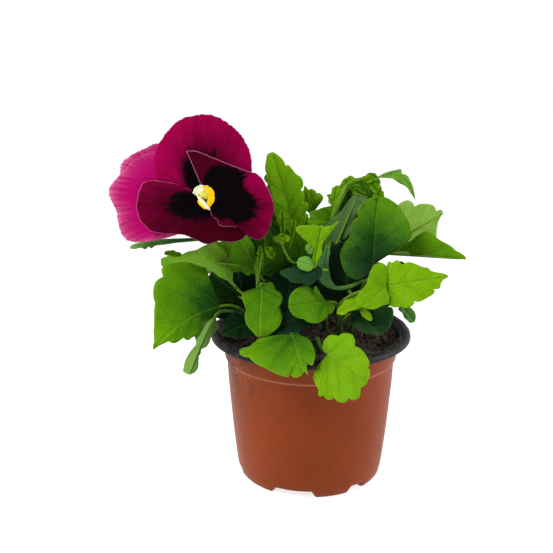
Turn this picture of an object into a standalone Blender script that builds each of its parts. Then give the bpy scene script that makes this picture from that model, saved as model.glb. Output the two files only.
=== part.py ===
"""A pansy in bloom in a round thermoformed nursery pot.

Metres, +Z up. The origin is the middle of the pot's flat bottom, and the bloom faces -Y. Tables of
sizes and places are in millimetres and angles in degrees, and the functions that read them convert.
"""

import math
from collections import namedtuple

import bmesh
import bpy
import numpy as np
from mathutils import Matrix, Vector, noise

MM = 0.001
WELD = 1e-6

# The pot: a thin shell whose flat bottom, wall and curled rim are one sheet.
POT_WALL = 0.8
POT_FLOOR_RADIUS = 24.5
POT_FOOT = [(28, 0), (36.7, 0), (38.3, 1.5)]
POT_BODY = [(39.1, 5.2), (41.3, 24), (43.8, 54), (44.4, 65), (45.5, 66)]
POT_RIM = [(47, 75.5), (47.6, 78), (48.9, 79.2), (50.7, 79.2), (51.7, 78.3), (51.8, 76.6)]
DRAIN_LIFT = 4.2
DRAIN_RAMP = 7.0
# Each drain gap in the foot: its middle and half its width, in degrees round from the front.
DRAIN_GAPS = [(-76, 3), (-13, 13), (40, 3), (104, 13), (160, 3), (220, 13)]
POT_STEP = 10.0

# The soil fills the pot to a little below the rim.
SOIL_GAP = 0.6
SOIL_TOP = 73.0
SOIL_CROWN = 2.5
SOIL_BUMPS = 1.2
SOIL_RINGS = [0, 10, 20, 30, 39]
SOIL_STEPS = 28
ROOT_DEPTH = 16.0
ROOT_GAP = 0.3

# Stems, petioles and leaf blades.
BLADE = 0.8
STEM_RADIUS = 1.6
PETIOLE_RADII = (1.1, 0.75)
RIB_SHARE = 0.1
RIB_END = 0.92
NOTCH = 0.85
VEIN_SLANT = 0.4
BLADE_STRIPS = 2
PETIOLE_STEPS = 5

# A leaf outline: where along the rib the blade is widest, how far its lobes reach behind the heel,
# how round it is below and above the widest place, and its rounded teeth on each side.
Form = namedtuple("Form", "middle lobe low high teeth depth")
FORMS = {
    "round": Form(0.44, 0.22, 2.3, 2.1, 4, 0.13),
    "lobed": Form(0.44, 0.22, 2.3, 2.1, 3, 0.13),
    "broad": Form(0.40, 0.28, 2.2, 1.4, 4, 0.12),
    "shield": Form(0.30, 0.30, 2.0, 1.3, 5, 0.10),
    "wedge": Form(0.24, 0.30, 2.0, 1.3, 4, 0.14),
    "oval": Form(0.42, 0.05, 2.0, 1.7, 3, 0.12),
    "waisted": Form(0.46, 0.15, 2.4, 2.6, 3, 0.16),
    "long": Form(0.45, 0.0, 1.4, 1.4, 2, 0.16),
    "spoon": Form(0.62, 0.0, 1.3, 1.7, 3, 0.12),
    "tongue": Form(0.48, 0.0, 2.6, 1.6, 3, 0.14),
    "paddle": Form(0.80, 0.0, 0.8, 2.6, 2, 0.08),
    "small": Form(0.50, 0.0, 1.6, 2.0, 2, 0.12),
    "plain": Form(0.44, 0.15, 2.0, 2.0, 2, 0.06),
    "sepal": Form(0.35, 0.0, 1.6, 1.2, 1, 0.0),
}

# A leaf: its form, where its heel and tip are, where its upper side looks, the half widths left and
# right of the rib, how much the rib droops, how far each half is folded up along the rib, how much
# the blade cups, how far the rib bows to the right, and where on its stem the petiole starts.
Leaf = namedtuple(
    "Leaf", "form heel tip face halves bend folds cup bow start", defaults=(0, (0, 0), 0, 0, 0.8)
)
Stem = namedtuple("Stem", "axis leaves")

LEAFY_STEMS = {
    "leafy_stem_left_low": Stem([(-25, -5, 74), (-30, -9, 84), (-34, -12, 91)], [
        Leaf("shield", (-46, -22, 98), (-77, -36, 80), (-1, -9, 3), (13, 27), 24, (-20, 4), 20, 3, 0.9),
        Leaf("long", (-48, -26, 93), (-59, -47, 69), (3, 8, 5), (11, 11), -20, (40, 40), 0, 0, 0.5),
    ]),
    "leafy_stem_left": Stem([(-19, -9, 75), (-24, -11, 92), (-27, -11, 108), (-24, -8, 128)], [
        Leaf("spoon", (-37, -14, 105), (-73, -31, 124), (-1, -8, 6), (6, 17), 20, (-40, 0), 0, 5, 0.3),
        Leaf("oval", (-29, -14, 118), (-36, -20, 136), (-3, -9, 3), (13, 10), 10, (5, -60), 0, 0, 0.6),
        Leaf("oval", (-38, -3, 98), (-53, 6, 107), (2, -9, 4), (9, 9), 10, (5, 5), 0, 0, 0.4),
        Leaf("long", (-52, -10, 127), (-91, -12, 125), (0, -2, 9), (7, 7), 20, (10, 10), 0, 0, 0.8),
    ]),
    "leafy_stem_front": Stem([(-12, -20, 75), (-15, -18, 88), (-17, -16, 98)], [
        Leaf("waisted", (-25, -21, 109), (-25, -38, 87), (1, -8, 5), (10, 10), 30, (0, -10), 10, 0, 1.0),
        Leaf("oval", (-28, -20, 89), (-43, -33, 87), (0, -5, 8), (9, 9), 20, (5, 5), 0, 0, 0.2),
        Leaf("lobed", (1, -20, 96), (-18, -33, 92), (0, -7, 6), (9, 12), 20, (0, 0), 0, 0, 0.6),
    ]),
    "leafy_stem_rim": Stem([(4, -27, 75), (4, -29, 80), (3, -31, 84)], [
        Leaf("wedge", (-9, -41, 90), (-2, -64, 76), (-1, -7, 6), (11, 25), 25, (0, 0), 0, 0, 0.8),
        Leaf("round", (8, -50, 84), (27, -64, 76), (0, -8, 5), (16, 16), 16, (0, 0), 10, 0, 0.4),
    ]),
    "leafy_stem_right_front": Stem([(15, -16, 75), (15, -17, 88), (14, -17, 97)], [
        Leaf("round", (9, -22, 101), (-10, -33, 102), (0, -9, 4), (10, 11), 10, (0, 0), 20, 0, 1.0),
        Leaf("lobed", (22, -20, 94), (36, -29, 86), (1, -5, 8), (12, 12), 20, (10, 10), 0, 0, 0.4),
        Leaf("broad", (37, -24, 110), (67, -30, 117), (0, -9, 3), (14, 11), 14, (0, 0), 10, 0, 1.0),
        Leaf("lobed", (36, -26, 111), (26, -34, 112), (3, -9, 3), (12, 12), 0, (20, 20), 0, 0, 0.9),
    ]),
    "leafy_stem_centre": Stem([(-6, 2, 75), (-7, 0, 100), (-8, -1, 116)], [
        Leaf("tongue", (-8, -3, 131), (-20, 3, 172), (1, -9, 2), (8, 13), 10, (14, 14), 0, 0, 1.0),
        Leaf("long", (-15, 4, 130), (-22, 9, 155), (-7, -6, 3), (6, 6), 0, (40, 40), 0, 0, 0.9),
        Leaf("small", (-4, 10, 138), (1, 14, 154), (2, -9, 2), (7, 7), 0, (20, 20), 0, 0, 0.8),
        Leaf("paddle", (1, -22, 117), (5, -24, 140), (0, -9, 3), (13, 14), 10, (10, 10), 0, 0, 0.6),
        Leaf("small", (1, -26, 124), (-8, -28, 121), (2, 6, 8), (5, 5), 10, (0, 0), 0, 0, 0.5),
        Leaf("oval", (3, -4, 113), (-17, -8, 111), (0, -6, 8), (10, 9), 10, (0, 0), 0, 0, 0.5),
    ]),
    "leafy_stem_shoot": Stem([(8, 6, 75), (7, 5, 105), (9, 4, 130), (12, 3, 145), (18, 4, 156)], [
        Leaf("spoon", (14, 1, 144), (17, -1, 157), (-2, -9, 2), (5, 5), 0, (0, 0), 0, 0, 0.8),
        Leaf("oval", (11, 1, 142), (-1, -2, 139), (0, -9, 4), (6, 6), 10, (0, 0), 0, 0, 0.7),
        Leaf("small", (19, 2, 156), (27, 0, 156), (0, -5, 8), (6, 6), 60, (0, 0), 0, 0, 0.95),
        Leaf("small", (20, 5, 156), (32, 5, 152), (3, -6, 7), (6, 6), 70, (0, 0), 0, 0, 0.95),
        Leaf("long", (28, 6, 158), (53, 8, 150), (2, 2, 9), (6, 7), 70, (10, 30), 0, 0, 1.0),
    ]),
    "leafy_stem_right": Stem([(20, -2, 75), (24, -4, 92), (27, -6, 106)], [
        Leaf("round", (31, -12, 117), (33, -3, 151), (0, -9, 3), (14, 20), -20, (12, 12), 20, 0, 1.0),
        Leaf("oval", (12, -8, 125), (23, -4, 152), (1, 9, -2), (8, 8), 0, (0, 0), 0, 0, 0.5),
        Leaf("lobed", (24, -12, 106), (5, -15, 118), (3, -5, 7), (10, 11), -60, (20, 20), 0, 0, 0.7),
        Leaf("round", (43, 4, 125), (71, 12, 141), (0, 9, 3), (14, 14), 10, (0, 0), 0, 0, 0.8),
        Leaf("oval", (40, -2, 120), (77, -8, 122), (0, -3, 9), (12, 10), 10, (25, 50), 0, 0, 0.9),
    ]),
    "leafy_stem_back_right": Stem([(18, 20, 75), (20, 24, 94), (21, 26, 108)], [
        Leaf("plain", (14, 20, 104), (17, 24, 134), (0, -9, 4), (14, 15), 20, (10, 10), 0, 0, 1.0),
        Leaf("plain", (34, 19, 86), (37, 20, 110), (1, -9, 4), (13, 13), 20, (10, 10), 0, 0, 0.7),
        Leaf("plain", (40, 30, 96), (66, 38, 94), (2, 1, 9), (14, 14), 40, (10, 10), 0, 0, 0.5),
        Leaf("plain", (20, 46, 96), (24, 70, 84), (0, 4, 9), (15, 15), 30, (10, 10), 0, 0, 0.4),
        Leaf("oval", (49, 13, 88), (54, 7, 79), (6, -4, 6), (5, 5), 10, (10, 10), 0, 0, 0.3),
        Leaf("plain", (8, 19, 84), (5, 18, 106), (0, -9, 3), (15, 17), 20, (10, 10), 0, 0, 0.3),
    ]),
    "leafy_stem_back_left": Stem([(-16, 20, 75), (-20, 24, 96), (-22, 28, 110)], [
        Leaf("plain", (-18, 18, 104), (-24, 20, 130), (0, -9, 4), (14, 15), 20, (10, 10), 0, 0, 0.9),
        Leaf("plain", (-6, 26, 104), (-2, 30, 132), (0, -9, 4), (13, 13), 20, (10, 10), 0, 0, 0.8),
        Leaf("plain", (-40, 28, 100), (-64, 36, 98), (-2, 1, 9), (14, 14), 40, (10, 10), 0, 0, 0.6),
        Leaf("plain", (-14, 46, 98), (-16, 70, 86), (0, 4, 9), (15, 15), 30, (10, 10), 0, 0, 0.4),
        Leaf("plain", (-26, 42, 122), (-34, 60, 130), (-2, -2, 9), (15, 15), 30, (10, 10), 0, 0, 1.0),
        Leaf("plain", (-22, 17, 84), (-32, 15, 106), (0, -9, 3), (13, 14), 20, (10, 10), 0, 0, 0.3),
    ]),
}

# The bloom: x is to the right and y up in its own plane, z out of its face, all from its middle.
BLOOM_PLACE = (-50.5, -30, 155)
BLOOM_FACE = (0.08, -0.975, 0.2)
PETAL = 0.8
PETAL_HOLE = 2.8
PETAL_LAYER = 1.3
PETAL_SPREAD = 60.0
PETAL_COLUMNS = 18
PETAL_ROWS = 4
THROAT_DEPTH = 1.5
THROAT_RADIUS = 6.0
SAUCER_DROP = 5.0
SAUCER_RADIUS = 38.0

# A petal: its layer from the front, its colour, and the points of its margin, anticlockwise.
Petal = namedtuple("Petal", "layer colour margin")
PETALS = {
    "petal_lip": Petal(
        0,
        "petal_dark",
        [(4.8, -10), (5.8, -13), (10.5, -14), (17.5, -16), (23, -21), (27, -19.5), (31, -11.5), (32.4, -4),
         (28.7, 6), (24.5, 11), (20, 12.3), (5.5, 18), (-4.5, 22), (-9, 22)],
    ),
    "petal_side_lower": Petal(
        1,
        "petal_dark",
        [(-6.7, 3.4), (-13, 6.2), (-22.5, 8), (-27.5, 8), (-31, 6), (-33.5, -3), (-32.3, -10), (-29, -14),
         (-24.4, -16.6), (-12, -17.7), (-6.7, -19.6), (0, -22.4), (6, -21), (11.5, -21.6), (15, -16.6)],
    ),
    "petal_side_top": Petal(
        2,
        "petal_dark",
        [(22.3, 10), (21.6, 20), (19.6, 25.6), (15, 32.3), (5.6, 38.8), (-1.2, 40), (-10.5, 38.3),
         (-16.5, 34), (-21.6, 27.3), (-24.6, 21), (-25, 14.6), (-23, 5)],
    ),
    "petal_upper_front": Petal(
        3,
        "petal_pink",
        [(-20, 21), (-24.4, 22.5), (-30, 21.3), (-35.5, 18.2), (-43.4, 10.3), (-47.9, 3.6), (-44.6, -5.6),
         (-43.6, -11), (-42.6, -16), (-39, -20.8), (-31, -21.2), (-19, -19.2), (-9, -16)],
    ),
    "petal_upper_back": Petal(
        4,
        "petal_pink",
        [(-10, 26), (-24, 26.4), (-28.7, 24.7), (-37.4, 20.6), (-42.2, 15.3), (-40, 4), (-30, -6)],
    ),
}

STALK_RADIUS = 1.3
STALK_PATH = [(-12, 9, 75), (-13, 9, 84), (-19, 8, 105), (-33, 2, 135), (-44, -7, 154)]
STALK_BACK = [(0, 0, -17), (0, 0, -11)]
RECEPTACLE_DEPTH = -10.7
RECEPTACLE_RADIUS = 3.4
SEPAL_LENGTH = 15.0
SEPAL_HALF = 2.6
SEPAL_COUNT = 5
PISTIL_PROFILE = [
    (0, 2.9), (1.6, 2.8), (2.8, 2.3), (3.3, 1.7), (3.2, 1.3), (2.2, 1.1), (2.2, -6.8), (0, -6.8),
]
PISTIL_STEPS = 12

MATERIALS = {
    "terracotta_plastic": ((0.36, 0.10, 0.05, 1), 0.45),
    "potting_soil": ((0.03, 0.02, 0.015, 1), 0.95),
    "leaf_green": ((0.13, 0.30, 0.02, 1), 0.5),
    "stalk_green": ((0.20, 0.33, 0.06, 1), 0.5),
    "petal_dark": ((0.16, 0.0, 0.05, 1), 0.7),
    "petal_pink": ((0.35, 0.01, 0.15, 1), 0.7),
    "throat_yellow": ((0.80, 0.45, 0.08, 1), 0.7),
}


def clear_scene():
    for obj in list(bpy.data.objects):
        bpy.data.objects.remove(obj, do_unlink=True)


def new_collection(name):
    collection = bpy.data.collections.new(name)
    bpy.context.scene.collection.children.link(collection)
    return collection


def make_materials():
    for name, (colour, roughness) in MATERIALS.items():
        material = bpy.data.materials.new(name)
        material.use_nodes = True
        shader = material.node_tree.nodes["Principled BSDF"]
        shader.inputs["Base Color"].default_value = colour
        shader.inputs["Roughness"].default_value = roughness
        shader.inputs["Metallic"].default_value = 0
        material.diffuse_color = colour


def point(place):
    """A place from a table, in metres."""
    return np.array(place, float) * MM


def unit(vector):
    vector = np.array(vector, float)
    return vector / np.linalg.norm(vector)


def add_object(name, mesh, collection, material=None):
    obj = bpy.data.objects.new(name, mesh)
    collection.objects.link(obj)
    if material:
        mesh.materials.append(bpy.data.materials[material])
    return obj


def mapped_grid(name, columns, rows, place):
    """A mesh from a grid whose corner (column, row) goes where place says. Corners that meet are welded."""
    grid = bmesh.new()
    bmesh.ops.create_grid(grid, x_segments=columns, y_segments=rows, size=1)
    for corner in grid.verts:
        column = round((corner.co.x + 1) / 2 * columns)
        row = round((corner.co.y + 1) / 2 * rows)
        corner.co = Vector(place(column, row))
    bmesh.ops.remove_doubles(grid, verts=grid.verts, dist=WELD)
    bmesh.ops.dissolve_degenerate(grid, edges=grid.edges, dist=WELD)
    bmesh.ops.triangulate(grid, faces=grid.faces)
    bmesh.ops.recalc_face_normals(grid, faces=grid.faces)
    mesh = bpy.data.meshes.new(name)
    grid.to_mesh(mesh)
    grid.free()
    mesh.shade_smooth()
    return mesh


def thicken(obj, thickness, offset):
    solidify = obj.modifiers.new("thickness", "SOLIDIFY")
    solidify.thickness = thickness
    solidify.offset = offset


def evaluated_mesh(obj):
    bpy.context.view_layer.update()
    graph = bpy.context.evaluated_depsgraph_get()
    return bpy.data.meshes.new_from_object(obj.evaluated_get(graph))


def apply_modifiers(obj):
    mesh = evaluated_mesh(obj)
    obj.modifiers.clear()
    obj.data = mesh


def boolean(obj, operation, collection):
    modifier = obj.modifiers.new(operation.lower(), "BOOLEAN")
    modifier.operation = operation
    modifier.operand_type = "COLLECTION"
    modifier.collection = collection
    modifier.solver = "EXACT"


def fuse(pieces, name, collection, material):
    """One body from overlapping pieces, in one node."""
    body = pieces[0]
    others = bpy.data.collections.new(name + "_pieces")
    bpy.context.scene.collection.children.link(others)
    for piece in pieces[1:]:
        for holder in list(piece.users_collection):
            holder.objects.unlink(piece)
        others.objects.link(piece)
    boolean(body, "UNION", others)
    apply_modifiers(body)
    for piece in pieces[1:]:
        bpy.data.objects.remove(piece, do_unlink=True)
    bpy.data.collections.remove(others)
    keep_largest(body.data)
    body.name = name
    body.data.name = name
    body.data.materials.clear()
    body.data.materials.append(bpy.data.materials[material])
    body.data.shade_smooth()
    body.data.set_sharp_from_angle(angle=math.radians(50))
    return body


def keep_largest(mesh):
    """Leaves only the biggest connected body of a mesh."""
    body = bmesh.new()
    body.from_mesh(mesh)
    islands = []
    unseen = set(body.verts)
    while unseen:
        island = {unseen.pop()}
        edge_of_island = list(island)
        while edge_of_island:
            corner = edge_of_island.pop()
            near = {edge.other_vert(corner) for edge in corner.link_edges} & unseen
            unseen -= near
            island |= near
            edge_of_island += near
        islands.append(island)
    largest = max(islands, key=len)
    bmesh.ops.delete(body, geom=[corner for corner in body.verts if corner not in largest])
    body.to_mesh(mesh)
    body.free()


def smooth_path(points, per_span):
    """Points along one smooth curve through the given ones."""
    points = np.array(points, float)
    ends = np.vstack([2 * points[0] - points[1], points, 2 * points[-1] - points[-2]])
    found = []
    for a, b, c, d in zip(ends, ends[1:], ends[2:], ends[3:]):
        square = 2 * a - 5 * b + 4 * c - d
        cube = 3 * b - a - 3 * c + d
        for t in np.arange(per_span) / per_span:
            found.append(b + 0.5 * ((c - a) * t + square * t**2 + cube * t**3))
    found.append(points[-1])
    return np.array(found)


def tube(name, points, radii, collection, resolution=1):
    """A round tube along points, as a closed mesh whose radius goes evenly from radii[0] to radii[1]."""
    data = bpy.data.curves.new(name, "CURVE")
    data.dimensions = "3D"
    data.bevel_depth = radii[0]
    data.bevel_resolution = resolution
    data.use_fill_caps = True
    spline = data.splines.new("POLY")
    spline.points.add(len(points) - 1)
    for index, (spot, place) in enumerate(zip(spline.points, points)):
        share = index / (len(points) - 1)
        spot.co = (*place, 1)
        spot.radius = 1 + (radii[1] / radii[0] - 1) * share
    guide = bpy.data.objects.new(name, data)
    collection.objects.link(guide)
    mesh = evaluated_mesh(guide)
    bpy.data.objects.remove(guide, do_unlink=True)
    body = bmesh.new()
    body.from_mesh(mesh)
    bmesh.ops.remove_doubles(body, verts=body.verts, dist=WELD)
    bmesh.ops.recalc_face_normals(body, faces=body.faces)
    body.to_mesh(mesh)
    body.free()
    return add_object(name, mesh, collection)


def drain_angles():
    """The angles round the pot's wall, with a corner where each drain gap and its ramps begin and end."""
    corners = []
    for middle, half in DRAIN_GAPS:
        corners += [middle - half - DRAIN_RAMP, middle - half, middle + half, middle + half + DRAIN_RAMP]
    corners = sorted(angle % 360 for angle in corners)
    corners.append(corners[0] + 360)
    angles = [corners[0]]
    for start, end in zip(corners, corners[1:]):
        spans = math.ceil((end - start) / POT_STEP)
        angles += list(np.linspace(start, end, spans + 1)[1:])
    return angles


def drain_lift(angle):
    """How far the foot is lifted, from 0 to 1, at this angle round from the front."""
    for middle, half in DRAIN_GAPS:
        away = abs((angle - middle + 180) % 360 - 180)
        if away < half + DRAIN_RAMP:
            return min(1, (half + DRAIN_RAMP - away) / DRAIN_RAMP)
    return 0


def make_pot(collection):
    floor = [(0, 0), (POT_FLOOR_RADIUS, 0)]
    profile = floor + POT_FOOT + POT_BODY + POT_RIM
    feet = range(len(floor), len(floor) + len(POT_FOOT))
    angles = drain_angles()

    def place(column, row):
        angle = angles[column]
        radius, height = profile[row]
        if row in feet:
            height += drain_lift(angle) * (DRAIN_LIFT - 0.9 * height)
        turn = math.radians(angle)
        return point((radius * math.sin(turn), -radius * math.cos(turn), height))

    mesh = mapped_grid("pot", len(angles) - 1, len(profile) - 1, place)
    pot = add_object("pot", mesh, collection, "terracotta_plastic")
    thicken(pot, POT_WALL * MM, soil_side(mesh))
    pot.data.set_sharp_from_angle(angle=math.radians(40))


def soil_side(mesh):
    """The Solidify offset that thickens the pot's sheet towards the soil."""
    lowest = min(mesh.polygons, key=lambda face: face.center.z)
    return 1 if lowest.normal.z > 0 else -1


def wall_inside(height):
    """The radius inside the pot's wall at a height, all in millimetres."""
    radii, heights = zip(*(POT_BODY + POT_RIM[:1]))
    return np.interp(height, heights, radii) - POT_WALL


def make_soil(collection, cutters, roots):
    step = DRAIN_LIFT + POT_WALL + 2 * SOIL_GAP
    low = POT_WALL + SOIL_GAP
    core = POT_FLOOR_RADIUS - 1.5
    side = [(wall_inside(h) - 1.5 * SOIL_GAP, h) for h in (step + 1, 24, 54, 64.5, SOIL_TOP - 2)]
    profile = [(r, SOIL_TOP + SOIL_CROWN * (1 - (r / 45) ** 2)) for r in SOIL_RINGS]
    profile += side[::-1] + [(37, step), (core, step), (core - 1, low), (0, low)]
    mesh = bpy.data.meshes.new("soil")
    corners = [point((r, 0, z)) for r, z in profile]
    mesh.from_pydata(corners, [(i, i + 1) for i in range(len(corners) - 1)], [])
    soil = add_object("soil", mesh, collection, "potting_soil")
    turned = soil.modifiers.new("turned", "SCREW")
    turned.steps = SOIL_STEPS
    turned.render_steps = SOIL_STEPS
    turned.use_merge_vertices = True
    turned.merge_threshold = WELD
    apply_modifiers(soil)
    body = bmesh.new()
    body.from_mesh(soil.data)
    bmesh.ops.recalc_face_normals(body, faces=body.faces)
    for corner in body.verts:
        radius = math.hypot(corner.co.x, corner.co.y)
        if corner.co.z > SOIL_TOP * MM - WELD and radius < SOIL_RINGS[-1] * MM + WELD:
            corner.co.z += SOIL_BUMPS * MM * noise.noise(corner.co * 150)
    body.to_mesh(soil.data)
    body.free()
    for name, (place, radius) in roots.items():
        cutters.objects.link(root_hole(name, place, radius))
    boolean(soil, "DIFFERENCE", cutters)
    soil.data.shade_smooth()
    soil.data.set_sharp_from_angle(angle=math.radians(50))


def root_hole(name, place, radius):
    """A cutter for the plain hole that a stem stands in."""
    depth = ROOT_DEPTH + 2 * SOIL_GAP
    hole = bmesh.new()
    bmesh.ops.create_cone(
        hole,
        cap_ends=True,
        segments=12,
        radius1=(radius + 1.4 * ROOT_GAP) * MM,
        radius2=(radius + 1.4 * ROOT_GAP) * MM,
        depth=2 * depth * MM,
    )
    mesh = bpy.data.meshes.new("hole_" + name)
    hole.to_mesh(mesh)
    hole.free()
    cutter = bpy.data.objects.new("hole_" + name, mesh)
    cutter.location = point((place[0], place[1], SOIL_TOP))
    cutter.hide_render = True
    cutter.display_type = "WIRE"
    return cutter


def margin_radius(form, angle, half, length):
    """How far a smooth margin lies from the widest place of a blade, at an angle from the heel's way."""
    below = angle < math.pi / 2
    along = length * (form.middle * (1 + form.lobe) if below else 1 - form.middle)
    power = form.low if below else form.high
    across = (math.sin(angle) / half) ** power + (abs(math.cos(angle)) / along) ** power
    radius = across ** (-1 / power)
    if below:
        radius *= 1 - NOTCH * form.lobe / (1 + form.lobe) * math.exp(-((angle / 0.4) ** 2))
    return radius


def tooth(form, angle):
    """How much the teeth of the margin widen or narrow it at an angle."""
    wave = abs(math.sin((form.teeth + 0.5) * angle)) ** 0.7 - 0.6
    return 1 + form.depth * min(1, 4 * angle / math.pi) * wave


def half_arc(distance, start, curl):
    """Across and up after a distance along an arc that leaves at the angle start and turns curl a metre."""
    if abs(curl) < 1e-6:
        return distance * math.cos(start), distance * math.sin(start)
    end = start + curl * distance
    return (math.sin(end) - math.sin(start)) / curl, (math.cos(start) - math.cos(end)) / curl


class Blade:
    """Turns flat places on a leaf, along its rib and across it, into places in space."""

    def __init__(self, leaf):
        heel, tip = point(leaf.heel), point(leaf.tip)
        chord = np.linalg.norm(tip - heel)
        self.heel = heel
        self.along = unit(tip - heel)
        face = unit(leaf.face)
        self.across = unit(np.cross(self.along, face))
        self.up = np.cross(self.across, self.along)
        half_bend = math.radians(leaf.bend) / 2
        self.length = chord if abs(half_bend) < 1e-6 else chord * half_bend / math.sin(half_bend)
        self.half_bend = half_bend
        self.folds = [math.radians(fold) for fold in leaf.folds]
        self.widths = [half * MM for half in leaf.halves]
        self.cup = math.radians(leaf.cup)
        self.bow = leaf.bow * MM
        self.form = FORMS[leaf.form]

    def rib(self, along):
        """The place on the rib and the blade's own up, at a distance from the heel."""
        turn = -2 * self.half_bend / self.length
        y, z = half_arc(along, self.half_bend, turn)
        slope = self.half_bend + turn * along
        share = along / self.length
        place = self.heel + self.along * y + self.up * z + self.across * self.bow * 4 * share * (1 - share)
        return place, self.up * math.cos(slope) - self.along * math.sin(slope)

    def place(self, across, along):
        side = 1 if across > 0 else 0
        middle, up = self.rib(along)
        out, lift = half_arc(abs(across), self.folds[side], self.cup / self.widths[side])
        return middle + self.across * math.copysign(out, across) + up * lift

    def flat(self, share, out):
        """Flat (across, along) at a share of the way round one side, and out from the rib to the margin."""
        side = 1 if share > 0 else 0
        angle = abs(share) * math.pi
        widest = self.form.middle * self.length
        smooth = margin_radius(self.form, angle, self.widths[side], self.length)
        rib = widest - smooth * (math.cos(angle) + VEIN_SLANT * math.sin(angle))
        rib = RIB_END * max(0, rib)
        radius = smooth * tooth(self.form, angle)
        across = math.copysign(radius * math.sin(angle), share)
        along = widest - radius * math.cos(angle)
        return across * out, rib + (along - rib) * out

    def base_direction(self):
        return unit(self.rib(self.length * 0.02)[0] - self.rib(0)[0])


def make_blade(name, leaf, collection):
    blade = Blade(leaf)
    per_side = 2 * blade.form.teeth + 1
    strips = BLADE_STRIPS if leaf.cup else 1

    def place(column, row):
        across, along = blade.flat((column - per_side) / per_side, row / strips)
        return blade.place(across, along)

    obj = add_object(name, mapped_grid(name, 2 * per_side, strips, place), collection)
    thicken(obj, BLADE * MM, 0)
    apply_modifiers(obj)
    return obj


def make_petiole(name, leaf, axis, collection):
    """The stalk of one leaf, from its stem to a little way up the rib."""
    blade = Blade(leaf)
    begin = axis[round(leaf.start * (len(axis) - 1))]
    apart = np.linalg.norm(blade.heel - begin)
    leave = unit(unit(blade.heel - begin) + np.array([0, 0, 0.9])) * apart * 0.35
    arrive = blade.base_direction() * apart * 0.35
    points = []
    for t in np.linspace(0, 1, PETIOLE_STEPS + 1):
        points.append(
            begin * (1 - t) ** 3
            + 3 * (begin + leave) * t * (1 - t) ** 2
            + 3 * (blade.heel - arrive) * t**2 * (1 - t)
            + blade.heel * t**3
        )
    points.append(blade.rib(RIB_SHARE * blade.length)[0])
    radii = (PETIOLE_RADII[0] * MM, PETIOLE_RADII[1] * MM)
    return tube(name, points, radii, collection, 0)


def make_leafy_stem(name, stem, collection):
    root = np.array(stem.axis[0], float)
    path = [root - (0, 0, ROOT_DEPTH), root - (0, 0, ROOT_DEPTH / 2), *stem.axis]
    axis = smooth_path(np.array(path) * MM, 2)
    visible = smooth_path(np.array(stem.axis) * MM, 6)
    pieces = [tube(name, axis, (STEM_RADIUS * MM, 0.9 * MM), collection)]
    for number, leaf in enumerate(stem.leaves):
        label = f"{name}_{number}"
        pieces.append(make_petiole(label + "_petiole", leaf, visible, collection))
        pieces.append(make_blade(label + "_blade", leaf, collection))
    return fuse(pieces, name, collection, "leaf_green")


class Bloom:
    """The bloom's own frame: x right, y up, z out of its face."""

    def __init__(self):
        self.middle = point(BLOOM_PLACE)
        self.out = unit(BLOOM_FACE)
        self.right = unit(np.cross((0, 0, 1), self.out))
        self.up = np.cross(self.out, self.right)

    def place(self, x, y, z):
        return self.middle + (self.right * x + self.up * y + self.out * z) * MM


def saucer(radius):
    """How far the open bloom stands forward at a distance from its middle."""
    throat = THROAT_DEPTH * (1 - math.exp(-radius / THROAT_RADIUS))
    return throat - SAUCER_DROP * (radius / SAUCER_RADIUS) ** 2


def even_steps(points, count):
    """count + 1 points evenly spaced along a line of points."""
    lengths = np.concatenate([[0], np.cumsum(np.linalg.norm(np.diff(points, axis=0), axis=1))])
    wanted = np.linspace(0, lengths[-1], count + 1)
    return np.column_stack([np.interp(wanted, lengths, points[:, axis]) for axis in range(2)])


def make_petal(name, petal, bloom, collection):
    margin = even_steps(smooth_path(petal.margin, 6), PETAL_COLUMNS)
    turns = np.unwrap(np.arctan2(margin[:, 1], margin[:, 0]))
    turns = np.linspace(turns[0], turns[-1], PETAL_COLUMNS + 1)

    def place(column, row):
        claw = PETAL_HOLE * np.array([math.cos(turns[column]), math.sin(turns[column])])
        x, y = claw + (margin[column] - claw) * row / PETAL_ROWS
        radius = math.hypot(x, y)
        behind = petal.layer * PETAL_LAYER * (1 + radius / PETAL_SPREAD)
        return bloom.place(x, y, saucer(radius) - behind)

    mesh = mapped_grid(name, PETAL_COLUMNS, PETAL_ROWS, place)
    thicken(add_object(name, mesh, collection, petal.colour), PETAL * MM, 0)


def make_pistil(bloom, collection):
    mesh = bpy.data.meshes.new("pistil")
    corners = [point((r, 0, z)) for r, z in PISTIL_PROFILE]
    mesh.from_pydata(corners, [(i, i + 1) for i in range(len(corners) - 1)], [])
    pistil = add_object("pistil", mesh, collection, "throat_yellow")
    turned = pistil.modifiers.new("turned", "SCREW")
    turned.steps = PISTIL_STEPS
    turned.render_steps = PISTIL_STEPS
    turned.use_merge_vertices = True
    turned.merge_threshold = WELD
    pistil.location = bloom.middle
    pistil.rotation_euler = Vector(bloom.out).to_track_quat("Z", "Y").to_euler()
    pistil.data.shade_smooth()


def make_flower_stalk(bloom, collection):
    root = np.array(STALK_PATH[0], float)
    low = [point(root - (0, 0, ROOT_DEPTH)), point(root - (0, 0, ROOT_DEPTH / 2))]
    path = low + [point(place) for place in STALK_PATH] + [bloom.place(*place) for place in STALK_BACK]
    pieces = [tube("flower_stalk", smooth_path(path, 3), (STALK_RADIUS * MM, STALK_RADIUS * MM), collection)]
    cup = bmesh.new()
    bmesh.ops.create_uvsphere(cup, u_segments=10, v_segments=6, radius=RECEPTACLE_RADIUS * MM)
    mesh = bpy.data.meshes.new("receptacle")
    cup.to_mesh(mesh)
    cup.free()
    mesh.transform(Matrix.Translation(bloom.place(0, 0, RECEPTACLE_DEPTH)))
    pieces.append(add_object("receptacle", mesh, collection))
    for number in range(SEPAL_COUNT):
        pieces.append(make_sepal(number, bloom, collection))
    fuse(pieces, "flower_stalk", collection, "stalk_green")


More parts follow.
